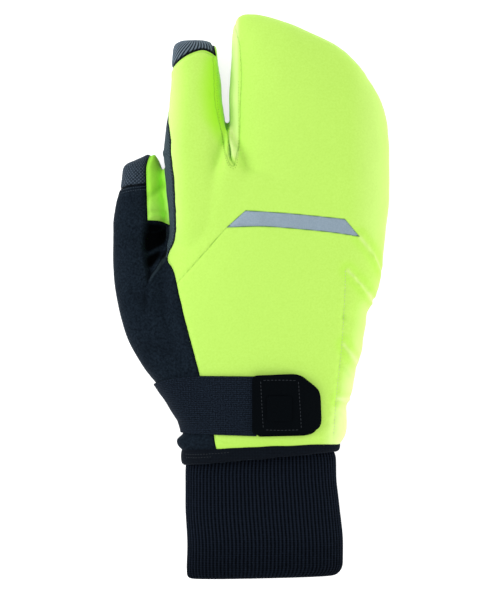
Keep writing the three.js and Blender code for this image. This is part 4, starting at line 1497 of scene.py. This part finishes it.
def tinted(tree, cloth, colour, value, low, high, start=0.0, end=1.0, by=None):
    """Turns cloth to a colour as a value runs from low to high, by a share from start to end."""
    limits = {"From Min": low, "From Max": high, "To Min": start, "To Max": end}
    share = add(tree, "MapRange", "Result", {"Value": value, **limits})
    if by is not None:
        share = add(tree, "Math", "Value", {0: share, 1: by}, operation="MULTIPLY")
    return add(tree, "Mix", "Result", {"Factor": share, "A": cloth, "B": colour}, data_type="RGBA")


print("middle grey in linear light:", round(linear("#808080")[0], 3))


# %% [markdown]
# ### Soft shell
#
# The neon cloth is polyester soft shell, a fine knit that is brushed on its face and glued to a membrane. The
# brushing makes it matt and even, with a faint sheen at the rim. The dye is fluorescent. Shade is painted into
# the folds as a deeper green, not grey, and between the fingers as a richer green, and light is painted on as a
# paler colour where the lamps fall. The real loops are about 0.3 mm, too fine for the picture, and are drawn at
# 1 mm.

# %% Soft shell
# the colours of the painted shade between the fingers and of the painted light on lit rims
PAINTED_SHADE_NEON, PAINTED_LIGHT_NEON = "#ABEE34", "#DCF59A"
SOFTSHELL_GRAIN_MM = 1.0


# deep is the colour of the painted shade in creases and folds
def softshell(name, base, deep, pale, seam_tone):
    material, tree, shader = new_material(
        name, roughness=0.75, sheen_weight=0.25, sheen_roughness=0.3, specular_ior_level=0.15
    )
    place = add(tree, "TexCoord", "Object")
    grain = add(tree, "TexNoise", "Fac", {"Vector": place, "Scale": PER_MM / SOFTSHELL_GRAIN_MM, "Detail": 2.0})
    kept = ("tone", "painted_crease_shade", "seam_mm", "seam_line")
    tone, painted_crease_shade, seam_mm, seam_line = (add(tree, "Attribute", "Fac", attribute_name=n) for n in kept)
    cloth = tinted(tree, base, pale, grain, 0.1, 0.9)
    # painted shade and painted light from the attribute tone
    cloth = tinted(tree, cloth, PAINTED_SHADE_NEON, tone, 0, -1)
    cloth = tinted(tree, cloth, PAINTED_LIGHT_NEON, tone, 0, 1)
    # painted shade in creases, grooves and folds
    cloth = tinted(tree, cloth, deep, painted_crease_shade, 0.3, 2.2, 0, 0.9)
    cloth = tinted(tree, cloth, seam_tone, seam_mm, 0.1, 0.55, 0.75, 0, by=seam_line)
    bump = add(tree, "Bump", "Normal", {"Height": grain, "Strength": 0.25, "Distance": 0.2 * MM})
    fill_in(tree, shader, {"Base Color": cloth, "Normal": bump})
    return material


neon = softshell("softshell_knit_neon", "#B6E45A", "#5FA41C", "#C2EE6A", "#6FA62A")
# the thumb's panel is the same neon cloth in darker colours: painted shade for the shadow that lies over it
neon_thumb_painted_shade = softshell("softshell_knit_neon_painted_shade", "#98E03C", "#4A8C1E", "#A0E844", "#33661A")
print("soft shell:", neon.name, "and", neon_thumb_painted_shade.name)


# %% [markdown]
# ### Suede cloth
#
# The thumb and the palm are synthetic suede, a felt of fine fibres that was sanded to a nap. The nap
# swallows light seen from above and catches it at the rim, which the sheen gives, with a blue-grey
# bloom in patches where hands have stroked it. Its tufts are about 1 mm, as drawn, and the patches
# 15 mm. A strip of the side wall's cloth runs on over it below the corner of the back: it is painted
# on through an attribute.

# %% Suede cloth
NAP_SCALE, STROKED_SCALE = 900.0, 60.0  # tufts of 1.1 mm, patches of 17 mm
PAINTED_FOLD_SHADE, PAINTED_SEAM_SHADE, STRIP_GREY = "#010203", "#030608", "#252F36"


def suede_cloth(name, dark, light, sheen_tint):
    material, tree, shader = new_material(
        name, roughness=0.95, sheen_weight=0.18, sheen_roughness=0.25, specular_ior_level=0.03,
        sheen_tint=sheen_tint,
    )
    place = add(tree, "TexCoord", "Object")
    nap_settings = {"Vector": place, "Scale": NAP_SCALE, "Detail": 3.0, "Roughness": 0.7}
    nap = add(tree, "TexNoise", "Fac", nap_settings)
    stroked = add(tree, "TexNoise", "Fac", {"Vector": place, "Scale": STROKED_SCALE, "Detail": 3.0})
    kept = ("painted_crease_shade", "seam_mm", "seam_line", "tape")
    painted_crease_shade, seam_mm, seam_line, strip = (add(tree, "Attribute", "Fac", attribute_name=n) for n in kept)
    cloth = tinted(tree, dark, light, nap, 0.3, 0.72)
    cloth = tinted(tree, cloth, dark, stroked, 0.45, 0.75, 0, 0.35)
    # painted shade: creases, folds and the web between thumb and hand turn nearly black
    cloth = tinted(tree, cloth, PAINTED_FOLD_SHADE, painted_crease_shade, 0.25, 1.5, 0, 0.97)
    # painted shade along the seams, under the raised edge of the neon panels
    cloth = tinted(tree, cloth, PAINTED_SEAM_SHADE, seam_mm, 0.15, 0.7, 0.9, 0, by=seam_line)
    cloth = tinted(tree, cloth, STRIP_GREY, strip, 0, 1)
    bump = add(tree, "Bump", "Normal", {"Height": nap, "Strength": 0.6, "Distance": 0.4 * MM})
    fill_in(tree, shader, {"Base Color": cloth, "Normal": bump})
    return material


suede = suede_cloth("suede_cloth_black", "#080E15", "#1D2731", "#8FA3B2")
palm_suede = suede_cloth("suede_cloth_palm", "#080D13", "#1B242D", "#8296A6")
print("suede:", suede.name, "and", palm_suede.name)


# %% [markdown]
# ### Jersey and grip knit
#
# The side wall and the binding are jersey, a polyester knit of plain loops. The cap and the patch at
# the fingertips are grip knit, whose thicker yarn stands up in ribs or dots and shines a little from
# its coating. Two crossed waves give rows of loops, and one wave alone gives ribs. They are counted
# from the attribute "around", so that they follow the cloth round the finger. Real loops are 0.5 to
# 0.8 mm apart. All but the binding's are drawn at 1.1 to 1.5 mm, or the picture wouldn't show them.

# %% Jersey and grip knit
RIM_TINT = "#8FA6BD"
FUZZ_SCALE = 900.0  # loose fibres, 1.1 mm


def jersey(name, dark, light, pitch_mm, rough, sheen, bump_mm, lean=0.0, ribbed=False):
    material, tree, shader = new_material(
        name, roughness=rough, sheen_weight=sheen, sheen_roughness=0.3, specular_ior_level=0.04,
        sheen_tint=RIM_TINT,
    )
    place = add(tree, "TexCoord", "Object")
    around = add(tree, "Attribute", "Vector", attribute_name="around")
    turned = add(tree, "Mapping", "Vector", {"Vector": around, "Rotation": (0, 0, lean)})
    waves = {"Vector": turned, "Scale": PER_MM / pitch_mm * WAVE_UNIT, "Distortion": 0.5, "Detail": 1.0}
    loops = add(tree, "TexWave", "Fac", waves, bands_direction="X")
    if not ribbed:
        along = add(tree, "TexWave", "Fac", waves, bands_direction="Y")
        loops = add(tree, "Math", "Value", {0: loops, 1: along}, operation="MULTIPLY")
    fuzz = add(tree, "TexNoise", "Fac", {"Vector": place, "Scale": FUZZ_SCALE, "Detail": 3.0})
    yarn_inputs = {0: fuzz, 1: 0.4 if ribbed else 0.9, 2: loops}
    yarn = add(tree, "Math", "Value", yarn_inputs, operation="MULTIPLY_ADD")
    kept = ("seam_mm", "seam_line")
    seam_mm, seam_line = (add(tree, "Attribute", "Fac", attribute_name=n) for n in kept)
    cloth = tinted(tree, dark, light, yarn, 0.3, 1.2)
    # painted shade along the seam, under the raised edge of the cloth beside it
    cloth = tinted(tree, cloth, "#040709", seam_mm, 0.4, 1.1, 0.95, 0, by=seam_line)
    bump = add(tree, "Bump", "Normal", {"Height": yarn, "Strength": 0.6, "Distance": bump_mm * MM})
    fill_in(tree, shader, {"Base Color": cloth, "Normal": bump})
    return material


charcoal = jersey("jersey_charcoal", "#29343A", "#48575D", 1.1, 0.85, 0.1, 0.25, lean=0.6)
grip_cap = jersey("grip_knit_cap", "#10181F", "#6E7C87", 1.5, 0.75, 0.6, 0.4, lean=0.45, ribbed=True)
grip_patch = jersey("grip_knit_patch", "#151C24", "#465360", 1.3, 0.7, 0.12, 0.4, lean=0.785)
binding = jersey("binding_knit_black", "#080B11", "#121820", 0.8, 0.9, 0.1, 0.2)
print("knits:", charcoal.name, grip_cap.name, grip_patch.name, binding.name)


# %% [markdown]
# ### Rib knit and elastic webbing
#
# The cuff is rib knit of wool-like acrylic yarn. Its ribs are modelled, and the material also paints shade into
# the valleys between them and towards the mouth, and adds the rows of stitches, 1.2 mm apart, which hairs blur.
# The strap is elastic webbing, woven of textured polyester over rubber threads: its weft stands up in cross
# ribs.
# Their 1 mm by 0.8 mm is the real size. Both are matt, with a faint grey rim from loose fibres.

# %% Rib knit and elastic webbing
STITCH_ROW_MM = 1.2
WEFT_MM, WARP_MM = 1.0, 0.8

rib_knit, tree, shader = new_material(
    "rib_knit_black", roughness=0.92, sheen_weight=0.16, sheen_roughness=0.25, specular_ior_level=0.03,
    sheen_tint=RIM_TINT,
)
place = add(tree, "TexCoord", "Object")
rib = add(tree, "Attribute", "Fac", attribute_name="rib")
row_scale = PER_MM / STITCH_ROW_MM * WAVE_UNIT
waves = {"Vector": place, "Scale": row_scale, "Distortion": 2.5, "Detail": 1.0, "Detail Scale": 6.0}
loops = add(tree, "TexWave", "Fac", waves, bands_direction="Y")
fuzz = add(tree, "TexNoise", "Fac", {"Vector": place, "Scale": PER_MM, "Detail": 3.0})
yarn = add(tree, "Math", "Value", {0: loops, 1: fuzz}, operation="MULTIPLY")
# painted shade in the valleys between the ribs and towards the mouth
cloth = tinted(tree, "#030509", "#131923", rib, 0.35, 0.95)
cloth = tinted(tree, cloth, "#232C3B", yarn, 0.2, 0.8, 0, 0.5)
bump = add(tree, "Bump", "Normal", {"Height": yarn, "Strength": 0.4, "Distance": 0.2 * MM})
fill_in(tree, shader, {"Base Color": cloth, "Normal": bump})

webbing, tree, shader = new_material(
    "elastic_webbing_black", roughness=0.85, sheen_weight=0.08, sheen_roughness=0.3, specular_ior_level=0.03,
    sheen_tint=RIM_TINT,
)
along_across = add(tree, "UVMap", "UV", uv_map="along_across")
waves = {"Vector": along_across, "Distortion": 1.2, "Detail": 1.0, "Detail Scale": 3.0}
weft = add(tree, "TexWave", "Fac", {**waves, "Scale": WAVE_UNIT / WEFT_MM}, bands_direction="Y")
warp = add(tree, "TexWave", "Fac", {**waves, "Scale": WAVE_UNIT / WARP_MM}, bands_direction="X")
fuzz = add(tree, "TexNoise", "Fac", {"Vector": along_across, "Scale": 1.6, "Detail": 3.0})
woven = add(tree, "Math", "Value", {0: weft, 1: warp}, operation="MULTIPLY")
grain = add(tree, "Math", "Value", {0: woven, 1: fuzz, 2: fuzz}, operation="MULTIPLY_ADD")
cloth = tinted(tree, "#05080E", "#222C39", grain, 0.4, 1.0)
bump = add(tree, "Bump", "Normal", {"Height": woven, "Strength": 0.5, "Distance": 0.2 * MM})
fill_in(tree, shader, {"Base Color": cloth, "Normal": bump})
print("knit and weave:", rib_knit.name, "and", webbing.name)


# %% [markdown]
# ### Moulded tab and reflective tape
#
# The tab is thermoplastic rubber, moulded in a spark-eroded mould, whose fine grain (0.6 mm here,
# finer in life) keeps it from shining. Reflective tape is cloth coated with glass beads in a grey
# binder. The beads are far too small to see. They give a soft metallic grey, speckled at 0.7 mm so
# that it isn't flat, and the cloth beside the tape tints its edge green.

# %% Moulded tab and reflective tape
TAB_GRAIN = 1600.0  # 0.6 mm
BEAD_SPECKLE = 1400.0  # 0.7 mm

tab_rubber, tree, shader = new_material("moulded_tab_black", roughness=0.55, specular_ior_level=0.02)
place = add(tree, "TexCoord", "Object")
grain = add(tree, "TexNoise", "Fac", {"Vector": place, "Scale": TAB_GRAIN, "Detail": 2.0})
cloth = tinted(tree, "#020406", "#060A0E", grain, 0, 1)
bump = add(tree, "Bump", "Normal", {"Height": grain, "Strength": 0.3, "Distance": 0.2 * MM})
fill_in(tree, shader, {"Base Color": cloth, "Normal": bump})

tape, tree, shader = new_material("reflective_tape_grey", roughness=0.45, metallic=0.25, specular_ior_level=0.2)
place = add(tree, "TexCoord", "Object")
seam_mm = add(tree, "Attribute", "Fac", attribute_name="seam_mm")
beads = add(tree, "TexNoise", "Fac", {"Vector": place, "Scale": BEAD_SPECKLE, "Detail": 2.0})
cloth = tinted(tree, "#7F92A1", "#99AAB7", beads, 0, 1)
cloth = tinted(tree, cloth, "#3E5E2E", seam_mm, 0.15, 0.55, 0.8, 0)
bump = add(tree, "Bump", "Normal", {"Height": beads, "Strength": 0.2, "Distance": 0.1 * MM})
fill_in(tree, shader, {"Base Color": cloth, "Normal": bump})
print("tab and tape:", tab_rubber.name, "and", tape.name)


# %% [markdown]
# ### Threads and the floor
#
# Sewing thread is spun polyester, twisted of two yarns. The twist, 0.4 mm, shows as a darker fleck
# along each stitch. The floor is a sheet of opal plastic lit from below, as on a light table: it
# glows, and so it stays nearly white under the mitten, as in the photograph.

# %% Threads and the floor
THREAD_TONES = {
    "pale": "#DCEBBE", "green": "#8DB344", "grey": "#3E4A55", "charcoal": "#1B252C", "dull": "#2E3338",
}
TWIST_SCALE = 2500.0  # 0.4 mm
FLOOR_SIZE, FLOOR_WHITE, FLOOR_GLOW = 6, 0.75, 0.75

thread_materials = {}
for tone_name, tone_hex in THREAD_TONES.items():
    name = f"polyester_thread_{tone_name}"
    material, tree, shader = new_material(name, roughness=0.6, specular_ior_level=0.1)
    place = add(tree, "TexCoord", "Object")
    twist = add(tree, "TexNoise", "Fac", {"Vector": place, "Scale": TWIST_SCALE, "Detail": 1.0})
    flecks = {"Factor": twist, "A": tone_hex, "B": "#CBCBCB"}
    shade = add(tree, "Mix", "Result", flecks, data_type="RGBA", blend_type="MULTIPLY")
    fill_in(tree, shader, {"Base Color": shade})
    thread_materials[tone_name] = material

bpy.ops.object.select_all(action="DESELECT")
bpy.ops.mesh.primitive_plane_add(size=FLOOR_SIZE, location=(0, 0, -0.2 * MM))
floor = bpy.context.object
floor.name = "floor"
floor_material, tree, shader = new_material("pale_floor", roughness=0.9, emission_strength=FLOOR_GLOW)
fill_in(tree, shader, {"Base Color": (FLOOR_WHITE,) * 3 + (1,), "Emission Color": (1, 1, 1, 1)})
floor.data.materials.append(floor_material)
print("threads:", len(thread_materials))


# %% [markdown]
# ## Dressing the frame
#
# Every piece gets its material, rides on the one body, and stands for the CAD node of its name.

# %% Join the pieces to the frame
LOOK = {
    "finger_panel": neon, "hand_panel": neon, "gather_panel": neon, "fork_gusset": neon,
    "reflective_strip": tape, "index_sidewall": charcoal, "fingertip_cap": grip_cap, "heel_wrap": suede,
    "palm": palm_suede, "thumb": suede, "thumb_back_panel": neon_thumb_painted_shade, "thumb_tip_patch": grip_patch,
}


def dress(obj, node, material, stands_for=True):
    """Gives a piece its material and joins it to the frame."""
    obj.data.materials.clear()
    obj.data.materials.append(material)
    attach(obj, "root")
    if stands_for:
        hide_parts(node)


for name, panel in panels.items():
    dress(panel, name, LOOK[name])
dress(hem, "hem_band", binding)
dress(cuff, "knit_cuff", rib_knit)
dress(strap, "wrist_strap", webbing)
for layer in (tab, tab_lower, tab_plate):
    dress(layer, "strap_tab", tab_rubber, stands_for=layer is tab)
for name, (obj, tone_name, node) in threads.items():
    dress(obj, node, thread_materials[tone_name], stands_for=False)
